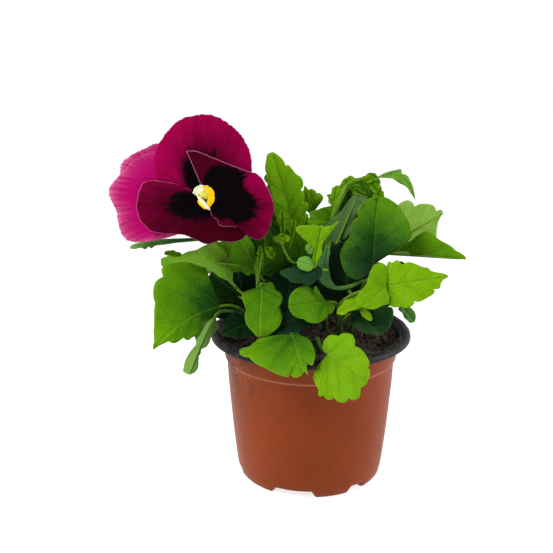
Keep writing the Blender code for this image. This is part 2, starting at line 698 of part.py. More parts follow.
def make_sepal(number, bloom, collection):
    turn = 2 * math.pi * (number + 0.25) / SEPAL_COUNT
    x, y = math.cos(turn), math.sin(turn)
    heel = bloom.place(x * 1.5, y * 1.5, RECEPTACLE_DEPTH) / MM
    tip = bloom.place(x * SEPAL_LENGTH, y * SEPAL_LENGTH, RECEPTACLE_DEPTH - 1.5) / MM
    leaf = Leaf("sepal", heel, tip, tuple(bloom.out), (SEPAL_HALF, SEPAL_HALF))
    return make_blade(f"sepal_{number}", leaf, collection)


def main():
    clear_scene()
    make_materials()
    plant = new_collection("potted_pansy")
    cutters = new_collection("cutters")
    roots = {name: (stem.axis[0], STEM_RADIUS) for name, stem in LEAFY_STEMS.items()}
    roots["flower_stalk"] = (STALK_PATH[0], STALK_RADIUS)
    make_pot(plant)
    make_soil(plant, cutters, roots)
    for name, stem in LEAFY_STEMS.items():
        make_leafy_stem(name, stem, plant)
    bloom = Bloom()
    for name, petal in PETALS.items():
        make_petal(name, petal, bloom, plant)
    make_pistil(bloom, plant)
    make_flower_stalk(bloom, plant)


main()
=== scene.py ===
# %% [markdown]
# # A pansy in bloom, in a nursery pot
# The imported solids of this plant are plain: a pot, a plug of soil, ten leafy stems, five petals, a pistil
# and a flower stalk. This lesson dresses them. Each solid is swapped for a finer piece that lies in the same
# place, and every piece gets a procedural finish. Blender works in metres, while the tables below are in
# millimetres, because that is how one would measure a small plant with a ruler.

# %% The fixed frame
import math
import random
from collections import namedtuple

import bpy
import numpy as np
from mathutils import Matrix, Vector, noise


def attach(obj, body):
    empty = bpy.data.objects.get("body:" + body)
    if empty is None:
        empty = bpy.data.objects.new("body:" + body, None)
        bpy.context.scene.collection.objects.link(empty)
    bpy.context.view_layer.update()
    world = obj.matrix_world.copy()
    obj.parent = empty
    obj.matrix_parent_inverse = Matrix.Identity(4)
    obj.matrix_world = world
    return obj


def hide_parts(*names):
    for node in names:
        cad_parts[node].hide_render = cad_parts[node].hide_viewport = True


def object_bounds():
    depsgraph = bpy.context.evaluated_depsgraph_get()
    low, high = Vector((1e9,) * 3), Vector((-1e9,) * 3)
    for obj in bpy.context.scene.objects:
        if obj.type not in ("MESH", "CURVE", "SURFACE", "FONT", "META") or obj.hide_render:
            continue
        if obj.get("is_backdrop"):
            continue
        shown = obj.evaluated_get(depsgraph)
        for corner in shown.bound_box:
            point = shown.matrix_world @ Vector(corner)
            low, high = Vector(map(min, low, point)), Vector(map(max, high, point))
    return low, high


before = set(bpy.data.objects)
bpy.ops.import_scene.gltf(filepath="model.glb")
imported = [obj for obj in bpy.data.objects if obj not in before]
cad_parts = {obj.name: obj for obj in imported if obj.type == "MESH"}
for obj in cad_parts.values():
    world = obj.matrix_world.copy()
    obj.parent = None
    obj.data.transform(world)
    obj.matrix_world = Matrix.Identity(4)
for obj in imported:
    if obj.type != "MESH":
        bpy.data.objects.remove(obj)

MM = 0.001
solid_box = [list(corner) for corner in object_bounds()]
print("solids:", len(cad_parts), "box in mm:", [[round(x / MM) for x in corner] for corner in solid_box])


# %% [markdown]
# ## The camera and the studio
# The camera stands a little above the leaves and looks down on them by about sixteen degrees, with a lens
# that is long enough to keep the pot's wall nearly upright. The stage is one white floor, and the light is
# a white room that is dark on the camera's side. That dark side is what gives a smooth pot its darker middle
# and its two soft upright highlights, as in a real product studio. An image of a studio could light the plant
# too, but with a plain room and three lamps each change of brightness is one number.

# %% Camera
CAMERA_PLACE = (0, -0.4521, 0.2357)
CAMERA_DOWN = 15.805
CAMERA_TURN = 2.284
CAMERA_LENS = 58.6
CAMERA_FILM = 36
CAMERA_NEAR = 0.01

scene = bpy.context.scene
scene.view_settings.view_transform = "Standard"
camera = bpy.data.objects.new("camera", bpy.data.cameras.new("camera"))
camera.data.lens = CAMERA_LENS
camera.data.sensor_width = CAMERA_FILM
camera.data.clip_start = CAMERA_NEAR
camera.location = CAMERA_PLACE
camera.rotation_euler = (math.radians(90 - CAMERA_DOWN), 0, math.radians(CAMERA_TURN))
scene.collection.objects.link(camera)
scene.camera = camera
print("camera at", CAMERA_PLACE, "looking down", CAMERA_DOWN, "degrees")


# %% [markdown]
# ## Shader maths as plain Python
# A node tree is hard to read once it has more than ten nodes. Two small classes make it read like
# arithmetic: a `Socket` is one output of a node, and adding, subtracting or multiplying sockets, or using one
# as a power, adds the Math node for it. A `Finish` is one material, and its `node` method makes any other
# node from its type, its settings and the values or links of its sockets. `mix` goes from one colour to
# another, and `glow` does the same for the light that passes through a thin leaf: it mixes plain translucent
# shaders, so that only their shares vary over the surface.

# %% Sockets
class Socket:
    """One output of a node in a finish."""

    def __init__(self, finish, link):
        self.finish = finish
        self.link = link

    def __add__(self, other):
        return self.finish.maths("ADD", self, other)

    def __radd__(self, other):
        return self.finish.maths("ADD", other, self)

    def __sub__(self, other):
        return self.finish.maths("SUBTRACT", self, other)

    def __rsub__(self, other):
        return self.finish.maths("SUBTRACT", other, self)

    def __mul__(self, other):
        return self.finish.maths("MULTIPLY", self, other)

    def __rmul__(self, other):
        return self.finish.maths("MULTIPLY", other, self)

    def __rpow__(self, other):
        return self.finish.maths("POWER", other, self)


# %% Finishes
class Finish:
    """A material, and the one way in which its nodes are made."""

    def __init__(self, name):
        self.material = bpy.data.materials.new(name)
        self.material.use_nodes = True
        self.tree = self.material.node_tree
        self.tree.nodes.clear()
        self.relief = None

    def node(self, kind, settings=None, values=None, result=0):
        """Any node: first its settings, then a value or a link for each of its sockets."""
        made = self.tree.nodes.new("ShaderNode" + kind)
        for key, setting in (settings or {}).items():
            if key == "stops":
                self.set_stops(made.color_ramp, setting)
            else:
                setattr(made, key, setting)
        for key, value in (values or {}).items():
            if isinstance(value, Socket):
                self.tree.links.new(value.link, made.inputs[key])
            else:
                made.inputs[key].default_value = value
        return Socket(self, made.outputs[result]) if len(made.outputs) else made

    def set_stops(self, ramp, stops):
        while len(ramp.elements) < len(stops):
            ramp.elements.new(1)
        for element, (position, colour) in zip(ramp.elements, stops):
            element.position = position
            element.color = (*colour, 1)

    def maths(self, operation, *values):
        return self.node("Math", {"operation": operation}, dict(enumerate(values)))

    def value(self, name):
        """A named value that the mesh carries at each corner."""
        return self.node("Attribute", {"attribute_name": name}, result="Fac")

    def step(self, value, low, high):
        """0 below low and 1 above high, with a soft change between them."""
        limits = {"Value": value, "From Min": low, "From Max": high}
        return self.node("MapRange", {"interpolation_type": "SMOOTHSTEP"}, limits)

    def place(self, stretch=(1, 1, 1)):
        """Where a point is on the piece, in metres, stretched along each direction."""
        spot = self.node("TexCoord", result="Object")
        return self.node("VectorMath", {"operation": "MULTIPLY"}, {0: spot, 1: stretch})

    def cloud(self, vector, scale, detail=3, roughness=0.6):
        """Soft noise from 0 to 1."""
        values = {"Vector": vector, "Scale": scale, "Detail": detail, "Roughness": roughness}
        return self.node("TexNoise", None, values)

    def mix(self, share, low, high):
        """From one colour to another. A colour is three numbers or a socket."""
        ends = [end if isinstance(end, Socket) else (*end, 1) for end in (low, high)]
        settings = {"data_type": "RGBA", "clamp_factor": True}
        return self.node("Mix", settings, {0: share, 6: ends[0], 7: ends[1]}, result=2)

    def ramp(self, share, stops):
        return self.node("ValToRGB", {"stops": stops}, {"Fac": share})

    def bump(self, height, strength, distance):
        """The relief of the surface, which the glow through it follows too."""
        values = {"Height": height, "Strength": strength, "Distance": distance}
        self.relief = self.node("Bump", None, values)
        return self.relief

    def glow(self, share, low, high):
        """From one light that passes through to another. A light is three numbers or a glow."""
        ends = [end if isinstance(end, Socket) else self.through(end) for end in (low, high)]
        return self.node("MixShader", None, {0: share, 1: ends[0], 2: ends[1]})

    def through(self, colour):
        """Light of one plain colour that passes through."""
        return self.node("BsdfTranslucent", None, {"Color": (*colour, 1), "Normal": self.relief})

    def skin(self, values, glow=None, glow_share=0.0):
        """The surface itself, with a share of the light passing through it as through a leaf."""
        surface = self.node("BsdfPrincipled", None, values)
        if glow:
            surface = self.node("MixShader", None, {0: glow_share, 1: surface, 2: glow})
        self.node("OutputMaterial", None, {"Surface": surface})
        print("finish:", self.material.name, "with", len(self.tree.nodes), "nodes")
        return self.material


# %% [markdown]
# ## The floor, the white room and the lamps
# The floor is a round sheet with a thin paper grain. It glows like a light table made of opal glass, so it
# turns white and only a faint shade is left where the pot stands. Stronger lamps could whiten it too, but
# they would bleach the leaves as well. The room is a world shader that depends on direction alone: white
# walls, a dimmer ceiling and a dark wall behind the camera. Three lamps add a soft key from the upper left
# and a narrow highlight down each side of the pot.

# %% Floor
FLOOR_RINGS = (0.1, 0.3, 1.0, 3.0)
FLOOR_STEPS = 64
FLOOR_GLOW = 0.78

paper = Finish("stage_paper")
grain = paper.cloud(paper.place(), 60)
paper_skin = paper.skin({
    "Base Color": paper.mix(grain, (0.42, 0.42, 0.42), (0.48, 0.48, 0.48)),
    "Roughness": 0.9,
    "Specular IOR Level": 0.1,
    "Emission Color": (1, 1, 1, 1),
    "Emission Strength": FLOOR_GLOW,
    "Normal": paper.bump(grain, 0.1, 0.001),
})


def make_floor():
    """A round floor whose middle is finer than its edge."""
    corners, faces = [(0, 0, 0)], []
    for ring in FLOOR_RINGS:
        for step in range(FLOOR_STEPS):
            turn = 2 * math.pi * step / FLOOR_STEPS
            corners.append((ring * math.sin(turn), ring * math.cos(turn), 0))
    for step in range(FLOOR_STEPS):
        after = (step + 1) % FLOOR_STEPS
        faces.append((0, 1 + after, 1 + step))
        for ring in range(len(FLOOR_RINGS) - 1):
            inner, outer = 1 + ring * FLOOR_STEPS, 1 + (ring + 1) * FLOOR_STEPS
            faces.append((inner + step, inner + after, outer + after, outer + step))
    mesh = bpy.data.meshes.new("stage_floor")
    mesh.from_pydata(corners, [], faces)
    mesh.materials.append(paper_skin)
    floor = bpy.data.objects.new("stage_floor", mesh)
    scene.collection.objects.link(floor)
    floor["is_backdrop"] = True
    return floor


floor = make_floor()
print("floor:", len(floor.data.polygons), "faces")

# %% The white room
ROOM_BRIGHT = 1.05
ROOM_FRONT = 0.06
ROOM_TOP = 0.42
# Along y and along z: where the brightness starts and stops changing, and the brightness at either end.
ROOM_CHANGES = {"Y": (-0.9, -0.2, ROOM_FRONT, ROOM_BRIGHT), "Z": (0.1, 0.6, 1, ROOM_TOP)}

world = bpy.data.worlds.new("white_room")
world.use_nodes = True
scene.world = world


def make_room(tree):
    """The brightness along y times the brightness along z."""
    background = tree.nodes["Background"]
    direction = tree.nodes.new("ShaderNodeTexCoord")
    split = tree.nodes.new("ShaderNodeSeparateXYZ")
    tree.links.new(direction.outputs["Generated"], split.inputs[0])
    both = tree.nodes.new("ShaderNodeMath")
    both.operation = "MULTIPLY"
    for number, (axis, limits) in enumerate(ROOM_CHANGES.items()):
        change = tree.nodes.new("ShaderNodeMapRange")
        change.interpolation_type = "SMOOTHSTEP"
        tree.links.new(split.outputs[axis], change.inputs["Value"])
        for name, value in zip(("From Min", "From Max", "To Min", "To Max"), limits):
            change.inputs[name].default_value = value
        tree.links.new(change.outputs["Result"], both.inputs[number])
    tree.links.new(both.outputs[0], background.inputs["Strength"])
    background.inputs["Color"].default_value = (1, 1, 1, 1)


make_room(world.node_tree)
print("room:", ROOM_BRIGHT, "all round and", ROOM_FRONT, "in front")

# %% Lamps
Lamp = namedtuple("Lamp", "place aim size power")
LAMPS = {
    "key": Lamp((-0.65, -0.6, 1.0), (0, 0, 0.1), (0.45, 0.45), 13),
    "left_strip": Lamp((-0.9, -0.25, 0.35), (0, 0, 0.06), (0.2, 0.9), 4),
    "right_strip": Lamp((0.9, -0.1, 0.35), (0, 0, 0.06), (0.2, 0.9), 8),
}


def make_lamp(name, lamp):
    data = bpy.data.lights.new(name, "AREA")
    data.shape = "RECTANGLE"
    data.size, data.size_y = lamp.size
    data.energy = lamp.power
    light = bpy.data.objects.new(name, data)
    light.location = lamp.place
    away = np.subtract(lamp.place, lamp.aim)
    flat = math.hypot(away[0], away[1])
    light.rotation_euler = (math.atan2(flat, away[2]), 0, math.atan2(away[0], -away[1]))
    scene.collection.objects.link(light)


for name, lamp in LAMPS.items():
    make_lamp(name, lamp)
print("lamps:", ", ".join(LAMPS))


# %% [markdown]
# ## Building pieces from grids
# A leaf, a petal, a stem and a pot are all sheets that can be made from a grid: a number of columns and
# rows whose corners are moved into place. They could be sculpted or be built from modifiers, but here one
# formula serves dozens of leaves, and NumPy moves thousands of corners at once. `Piece` gathers the grids of
# one piece together with named values, such as the distance to the nearest vein, which its finish reads
# later.

# %% Paths and grids
def unit(vectors):
    """The same directions, each with a length of 1."""
    vectors = np.asarray(vectors, float)
    return vectors / np.maximum(np.linalg.norm(vectors, axis=-1, keepdims=True), 1e-12)


def smooth_path(points, per_span):
    """Points along one smooth curve through the given ones."""
    points = np.array(points, float)
    ends = np.vstack([2 * points[0] - points[1], points, 2 * points[-1] - points[-2]])
    found = []
    for before, start, end, after in zip(ends, ends[1:], ends[2:], ends[3:]):
        square = 2 * before - 5 * start + 4 * end - after
        cube = 3 * start - before - 3 * end + after
        for share in np.arange(per_span) / per_span:
            found.append(start + 0.5 * ((end - before) * share + square * share**2 + cube * share**3))
    found.append(points[-1])
    return np.array(found)


def grid_faces(columns, rows, wrap=False):
    """The four corners of each cell in a grid whose corners are numbered column by column."""
    column, row = np.meshgrid(np.arange(columns if wrap else columns - 1), np.arange(rows - 1), indexing="ij")
    after = (column + 1) % columns
    cells = [column * rows + row, after * rows + row, after * rows + row + 1, column * rows + row + 1]
    return np.stack(cells, axis=-1).reshape(-1, 4)


def grid_normals(grid):
    """The upward direction at each corner of a grid of places."""
    along_columns = np.gradient(grid, axis=0)
    along_rows = np.gradient(grid, axis=1)
    return unit(np.cross(along_columns, along_rows))


print("a grid of 4 by 3 corners has", len(grid_faces(4, 3)), "faces")

# %% Gathering a piece
class Piece:
    """Gathers the sheets and tubes of one piece."""

    def __init__(self, name, finishes):
        self.name = name
        self.finishes = finishes
        self.corners, self.faces, self.kinds, self.values = [], [], [], []
        self.count = 0

    def add(self, corners, faces, kind=0, **values):
        """Adds corners and faces with the finish of that number."""
        corners = np.asarray(corners, float).reshape(-1, 3)
        self.corners.append(corners)
        self.faces += (np.asarray(faces) + self.count).tolist()
        self.kinds += [kind] * len(faces)
        self.values.append((len(corners), values))
        self.count += len(corners)

    def add_tube(self, path, radii, sides, kind=0):
        """A round tube along a path. The radii are spread evenly over it."""
        path = np.asarray(path, float)
        radii = np.interp(np.linspace(0, 1, len(path)), np.linspace(0, 1, len(radii)), radii)
        ahead = unit(np.gradient(path, axis=0))
        side = unit(np.cross(ahead[0], (0.3, 0.5, 0.81)))
        turns = np.linspace(0, 2 * math.pi, sides, endpoint=False)
        rings = []
        for place, forward, radius in zip(path, ahead, radii):
            side = unit(side - forward * np.dot(side, forward))
            other = np.cross(forward, side)
            ways = [side * math.cos(turn) + other * math.sin(turn) for turn in turns]
            rings.append([place + radius * way for way in ways])
        rings = np.array(rings)
        rings = np.concatenate([path[:1, None].repeat(sides, 1), rings, path[-1:, None].repeat(sides, 1)])
        grid = rings.transpose(1, 0, 2)
        self.add(grid, grid_faces(sides, len(rings), wrap=True), kind)

    def make(self, slot, *replaced):
        """Makes the object, which rides on the root body and stands for the nodes that it replaces."""
        mesh = bpy.data.meshes.new(self.name)
        mesh.from_pydata(np.concatenate(self.corners).tolist(), [], self.faces)
        for finish in self.finishes:
            mesh.materials.append(finish)
        mesh.polygons.foreach_set("material_index", self.kinds)
        for name in sorted({key for _, values in self.values for key in values}):
            filled = [np.broadcast_to(values.get(name, 0), count) for count, values in self.values]
            mesh.attributes.new(name, "FLOAT", "POINT").data.foreach_set("value", np.concatenate(filled))
        mesh.shade_smooth()
        piece = bpy.data.objects.new(self.name, mesh)
        scene.collection.objects.link(piece)
        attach(piece, "root")
        if replaced:
            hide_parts(*replaced)
        print(f"{self.name}: {len(mesh.polygons)} faces for {', '.join(replaced) or 'no node'}")


# %% [markdown]
# ## The pot
# A nursery pot is a thin sheet of plastic that is pressed over a mould while it is warm. Its outside is
# terracotta and its inside black, and the black side is rolled outward at the rim, so the rim looks black.
# The pot stands on a ring that is notched for drainage. A Screw modifier could turn the profile round the
# upright axis. Here the grid is computed instead, so that the foot can be lifted where a notch is, and each
# corner knows whether it belongs to the black lining.

# %% Pot sizes
POT_WALL = 0.8
# The outside as radii and heights in millimetres, from the middle of the floor out and up to the rim's edge.
POT_FLOOR = [(0, 0.6), (12, 0.6), (24.5, 0.3)]
POT_FOOT = [(27, 0), (28, 0), (32, 0), (36.2, 0), (36.9, 0.15), (37.6, 0.7), (38.3, 1.6)]
POT_BODY = [(38.9, 4.4), (39.3, 6.5), (40.3, 15), (41.3, 24), (42.6, 39), (43.8, 54), (44.3, 64.4)]
POT_STEP_LINE = [(44.5, 65.2), (45.1, 65.6), (45.4, 66.1), (45.55, 67)]
POT_RIM = [(46.2, 71), (46.9, 75), (47.1, 76.4), (47.5, 77.8), (48.2, 78.8), (49.2, 79.25),
           (50.4, 79.2), (51.2, 78.8), (51.7, 78.1), (51.85, 77.2), (51.8, 76.6)]
EDGE_DROP = 0.25
# The notches in the foot: their height, how many degrees each end takes to rise, and where the middle of each
# is and half its width in degrees. The lining's floor lies a little above them.
DRAIN_LIFT = 4.2
DRAIN_RAMP = 5.0
DRAIN_GAPS = [(-76, 4), (-13, 14), (40, 4), (104, 14), (160, 4), (220, 14)]
LINING_HEIGHT = DRAIN_LIFT + 1.2
LINING_BEND = 20
POT_TURNS = 240
print("pot:", 2 * max(POT_RIM)[0], "mm across its rim")


def drain_lift(angle):
    """How far the foot is lifted, from 0 to 1, at this angle round from the front."""
    lift = 0
    for middle, half in DRAIN_GAPS:
        away = abs((angle - middle + 180) % 360 - 180)
        share = min(1, max(0, (half + DRAIN_RAMP - away) / DRAIN_RAMP))
        lift = max(lift, share * share * (3 - 2 * share))
    return lift


# %% [markdown]
# ### The pot's finish
# The plastic has a low gloss. It has faint upright streaks, which are in part a painted reflection of its
# wavy surface, a pale line along the step below the rim, which is a painted highlight where the step faces
# up, and specks and smears of dried soil, most of them on the left. A painted image could show them, but
# noise of different scales needs no unwrapping and has no seam. The lining's own value switches to black
# plastic.

# %% Pot finish
def terracotta_finish():
    pot = Finish("pot_plastic")
    place = pot.place()
    lining = pot.value("lining")
    height = pot.value("height")
    patches = pot.cloud(place, 45, 4)
    fine = pot.cloud(place, 900, 4)
    drawn = pot.cloud(pot.place((260, 260, 14)), 1, 4)
    clay = pot.mix(patches, (0.168, 0.025, 0.002), (0.225, 0.037, 0.004))
    # Faint upright streaks, in part a painted reflection of the wavy plastic.
    clay = pot.mix(0.35 * drawn, clay, (0.135, 0.020, 0.001))
    # Painted highlight: a pale line along the step below the rim, where the step faces up to the light.
    edge = pot.step(height, 64.2, 65.2) * (1 - pot.step(height, 65.6, 66.4))
    clay = pot.mix(0.3 * edge, clay, (0.50, 0.24, 0.15))
    left = 1 - pot.step(pot.node("SeparateXYZ", None, {"Vector": place}), -0.035, -0.012)
    groups = (pot.step(pot.cloud(place, 34, 2), 0.4, 0.6) * 0.6 + 0.4) * pot.step(height, 30, 76)
    groups = groups * (left * 0.9 + 0.1)
    soil_specks = groups * pot.step(pot.cloud(place, 520, 3, 0.75), 0.47, 0.54)
    smears = groups * pot.step(pot.cloud(pot.place((90, 90, 34)), 1, 5), 0.45, 0.75)
    clay = pot.mix(0.9 * soil_specks + 0.3 * smears, clay, (0.035, 0.017, 0.009))
    dust = pot.step(pot.cloud(place, 260, 5, 0.7), 0.45, 0.68)
    black = pot.mix(0.35 * dust, (0.006, 0.007, 0.009), (0.12, 0.09, 0.065))
    return pot.skin({
        "Base Color": pot.mix(lining, clay, black),
        "Roughness": 0.36 + 0.12 * drawn + 0.25 * soil_specks + 0.15 * lining * dust,
        "Normal": pot.bump(0.7 * drawn + 0.3 * fine, 0.16, 0.0004),
        "Specular IOR Level": 0.11,
    })


pot_skin = terracotta_finish()

# %% Pot
def around(radius, turn):
    """x and y at a distance from the middle, after a turn in radians from the front towards the right."""
    return radius * math.sin(turn), -radius * math.cos(turn)


def sheet_profile():
    """The pot's outside from the middle of its floor to the rim's edge, then its lining back down."""
    outside = np.array(POT_FLOOR + POT_FOOT + POT_BODY + POT_STEP_LINE + POT_RIM, float)
    wall = outside[len(POT_FLOOR + POT_FOOT):]
    ahead = unit(np.gradient(wall, axis=0))
    inside = wall + POT_WALL * np.column_stack([-ahead[:, 1], ahead[:, 0]])
    edge = (outside[-1] + inside[-1]) / 2 - (0, EDGE_DROP)
    low = [(radius, LINING_HEIGHT) for radius in (inside[0][0], LINING_BEND, 0)]
    return np.vstack([outside, edge, inside[::-1], low]), len(outside)


def make_pot():
    profile, edge = sheet_profile()
    feet = range(1, len(POT_FLOOR + POT_FOOT))
    grid = np.zeros((POT_TURNS, len(profile), 3))
    for column in range(POT_TURNS):
        angle = 360 * column / POT_TURNS
        lift = drain_lift(angle)
        for row, (radius, height) in enumerate(profile):
            if row in feet:
                height += lift * (DRAIN_LIFT - 0.9 * height) * min(1, (radius / POT_FOOT[0][0]) ** 8)
            grid[column, row] = *around(radius, math.radians(angle)), height
    pot = Piece("nursery_pot", [pot_skin])
    lining = np.tile(np.arange(len(profile)) > edge, POT_TURNS)
    faces = grid_faces(POT_TURNS, len(profile), wrap=True)
    pot.add(grid * MM, faces, lining=lining, height=grid[:, :, 2].ravel())
    pot.make("terracotta_plastic", "pot")


make_pot()


# %% [markdown]
# ## The soil
# Potting soil is dark peat: crumbs of every size with thin brown fibres among them. The surface is one
# sheet that noise pushes up and down, and its finish paints shade into the hollows between grains too small
# to model.
# Crumbs and fibres could come from a particle system. A seeded random generator is simpler: they lie in the
# same places each time and become one mesh. Some crumbs have been spilt on the rim, and one pale clod of
# fibre lies at the right.

# %% Soil finish
def soil_finish(name, dark, light):
    soil = Finish(name)
    place = soil.place()
    coarse = soil.cloud(place, 180, 5, 0.7)
    fine = soil.cloud(place, 1400, 4, 0.7)
    # Painted shade: the colour darkens with the noise that sinks the bump, in the hollows between grains,
    # along with the peat's own mottling.
    return soil.skin({
        "Base Color": soil.mix(coarse * fine * 2.2 - 0.2, dark, light),
        "Roughness": 0.95,
        "Normal": soil.bump(0.6 * coarse + 0.4 * fine, 0.9, 0.0012),
    })


peat_skin = soil_finish("peat", (0.007, 0.0045, 0.003), (0.075, 0.044, 0.025))
fibre_skin = soil_finish("peat_fibre", (0.07, 0.035, 0.017), (0.28, 0.17, 0.09))

# %% Soil surface
SOIL_TOP = 73.0
SOIL_CROWN = 2.5
SOIL_HEAP = 3.5
SOIL_RADIUS = 45.2
SOIL_RINGS = 46
SOIL_TURNS = 150
SOIL_FOOT = 60
SOIL_FOOT_RADII = [42, 30, 0]
SOIL_ROUGH = 1.6
SOIL_GRAIN = 0.11


def soil_height(x, y):
    """The height of the soil above a place, in millimetres."""
    share = (x * x + y * y) / SOIL_RADIUS**2
    heap = SOIL_HEAP * share**3 * (0.6 + 0.4 * (x - y) / SOIL_RADIUS)
    spot = (x * SOIL_GRAIN, y * SOIL_GRAIN, 0)
    return SOIL_TOP + SOIL_CROWN * (1 - share) + heap + SOIL_ROUGH * noise.fractal(spot, 0.8, 2.1, 5)


def make_soil():
    radii = [*np.linspace(0, SOIL_RADIUS, SOIL_RINGS), *SOIL_FOOT_RADII]
    grid = np.zeros((SOIL_TURNS, len(radii), 3))
    for column in range(SOIL_TURNS):
        for row, radius in enumerate(radii):
            x, y = around(radius, 2 * math.pi * column / SOIL_TURNS)
            grid[column, row] = x, y, soil_height(x, y) if row < SOIL_RINGS else SOIL_FOOT
    soil = Piece("potting_soil", [peat_skin])
    soil.add(grid * MM, grid_faces(SOIL_TURNS, len(radii), wrap=True))
    soil.make("potting_soil", "soil")


make_soil()

# %% One crumb
def ball_ways(columns, rows):
    """The directions from a ball's middle to the corners of its grid, from its top to its bottom."""
    turn, fall = 2 * math.pi * np.arange(columns) / columns, math.pi * np.arange(rows) / (rows - 1)
    turn, fall = np.meshgrid(turn, fall, indexing="ij")
    return np.stack([np.sin(fall) * np.cos(turn), np.sin(fall) * np.sin(turn), np.cos(fall)], axis=-1)


CRUMB_WAYS = ball_ways(7, 5)


def add_crumb(piece, place, radius, chance):
    """An uneven ball whose corners are pushed in and out."""
    stretch = [chance.uniform(0.7, 1.3) for _ in range(3)]
    push = np.ones(CRUMB_WAYS.shape[:2])
    push[:, 1:-1] = [[chance.uniform(0.7, 1.25) for _ in column[1:-1]] for column in push]
    grid = place + radius * push[..., None] * CRUMB_WAYS * stretch
    piece.add(grid * MM, grid_faces(*push.shape, wrap=True))


print("a crumb has", CRUMB_WAYS.shape[0], "by", CRUMB_WAYS.shape[1], "corners")

# %% Chance sizes and places
def crumb_size(chance, least, spread):
    """Most crumbs are small, and a few are large."""
    return least + spread * chance.random() ** 3


def on_soil(chance, reach=1.0):
    """A chance place on the soil."""
    radius = reach * (SOIL_RADIUS - 1) * math.sqrt(chance.random())
    return around(radius, chance.uniform(0, 2 * math.pi))


# %% One fibre
FIBRE_RADII = (0.08, 0.16, 0.06)
FIBRE_TOP = 77
FIBRE_LENGTHS = (3, 8)
FIBRE_CROOK = 0.6


def add_fibre(piece, chance):
    """A thin crooked thread that lies on the soil."""
    x, y = on_soil(chance, 0.97)
    turn, length = chance.uniform(0, 2 * math.pi), chance.uniform(*FIBRE_LENGTHS)
    path = []
    for share in (-0.5, -0.2, 0.1, 0.5):
        along_x = x + length * share * math.cos(turn) + chance.uniform(-FIBRE_CROOK, FIBRE_CROOK)
        along_y = y + length * share * math.sin(turn) + chance.uniform(-FIBRE_CROOK, FIBRE_CROOK)
        height = min(soil_height(along_x, along_y), FIBRE_TOP) + chance.uniform(0.1, 0.9)
        path.append((along_x, along_y, height))
    piece.add_tube(smooth_path(path, 3) * MM, np.multiply(FIBRE_RADII, MM), 5)


# %% Crumbs and fibres
CRUMBS = 1100
RIM_CRUMBS = 420
RIM_BAND = (47.4, 50.8)
RIM_TOP = 80.0
FIBRES = 240
CLOD_LUMPS = 45
CLOD_PLACE = (33, 1)
CLOD_SPREAD = 3.2


def scatter_soil():
    chance = random.Random(7)
    crumbs = Piece("soil_crumbs", [peat_skin])
    for _ in range(CRUMBS):
        x, y = on_soil(chance)
        size = crumb_size(chance, 0.35, 1.3)
        add_crumb(crumbs, (x, y, soil_height(x, y) + 0.3 * size), size, chance)
    for _ in range(RIM_CRUMBS):
        turn, radius = chance.uniform(0, 2 * math.pi), chance.uniform(*RIM_BAND)
        size = crumb_size(chance, 0.12, 0.5)
        add_crumb(crumbs, (*around(radius, turn), RIM_TOP + 0.3 * size), size, chance)
    crumbs.make("potting_soil")
    fibres = Piece("peat_fibres", [fibre_skin])
    for _ in range(FIBRES):
        add_fibre(fibres, chance)
    for _ in range(CLOD_LUMPS):
        x, y = (middle + chance.gauss(0, CLOD_SPREAD) for middle in CLOD_PLACE)
        size = chance.uniform(0.4, 1.3)
        add_crumb(fibres, (x, y, soil_height(x, y) + 0.6 * size + 0.8), size, chance)
    fibres.make("potting_soil")


scatter_soil()


# %% [markdown]
# ## Leaves
# A pansy leaf is a thin blade with a scalloped margin. Its rib runs from the heel to the tip, and a side
# vein runs from the rib into each scallop. The blade is gridded in the same way: one column of the grid
# ends at each step along the margin, and its foot is on the rib, so the columns run like side veins. Then
# the flat grid is bent along the rib, folded up on either side of it and cupped. A plane with a cut-out image
# of a leaf would be quicker, but its edge would have no thickness and it would look flat from the side.

# %% Leaf forms
RIB_END = 0.92
# How deep the notch behind the heel is between two lobes, and how wide it is in radians.
NOTCH = 0.85
NOTCH_WIDTH = 0.4
SCALLOP_POWER = 0.7
SCALLOP_MIDDLE = 0.6
VEIN_SLANT = 0.9
SIDE_COLUMNS = 56

# Where along the rib the blade is widest, how far its lobes reach behind the heel, how round it is below
# and above the widest place, and the scallops on each side with their depth.
Form = namedtuple("Form", "middle lobe low high teeth depth")
FORMS = {
    "round": Form(0.44, 0.22, 2.3, 2.1, 4, 0.13),
    "lobed": Form(0.44, 0.22, 2.3, 2.1, 3, 0.13),
    "broad": Form(0.40, 0.28, 2.2, 1.4, 4, 0.12),
    "shield": Form(0.30, 0.30, 2.0, 1.3, 5, 0.10),
    "wedge": Form(0.24, 0.30, 2.0, 1.3, 4, 0.14),
    "oval": Form(0.42, 0.05, 2.0, 1.7, 3, 0.12),
    "waisted": Form(0.46, 0.15, 2.4, 2.6, 3, 0.16),
    "long": Form(0.45, 0.0, 1.4, 1.4, 2, 0.16),
    "spoon": Form(0.62, 0.0, 1.3, 1.7, 3, 0.12),
    "tongue": Form(0.48, 0.0, 2.6, 1.6, 3, 0.14),
    "paddle": Form(0.80, 0.0, 0.8, 2.6, 2, 0.08),
    "small": Form(0.50, 0.0, 1.6, 2.0, 2, 0.12),
    "plain": Form(0.44, 0.15, 2.0, 2.0, 4, 0.10),
    "sepal": Form(0.35, 0.0, 1.6, 1.2, 1, 0.0),
    "strap": Form(0.78, 0.0, 1.0, 2.2, 0, 0.0),
}
print(len(FORMS), "leaf forms")


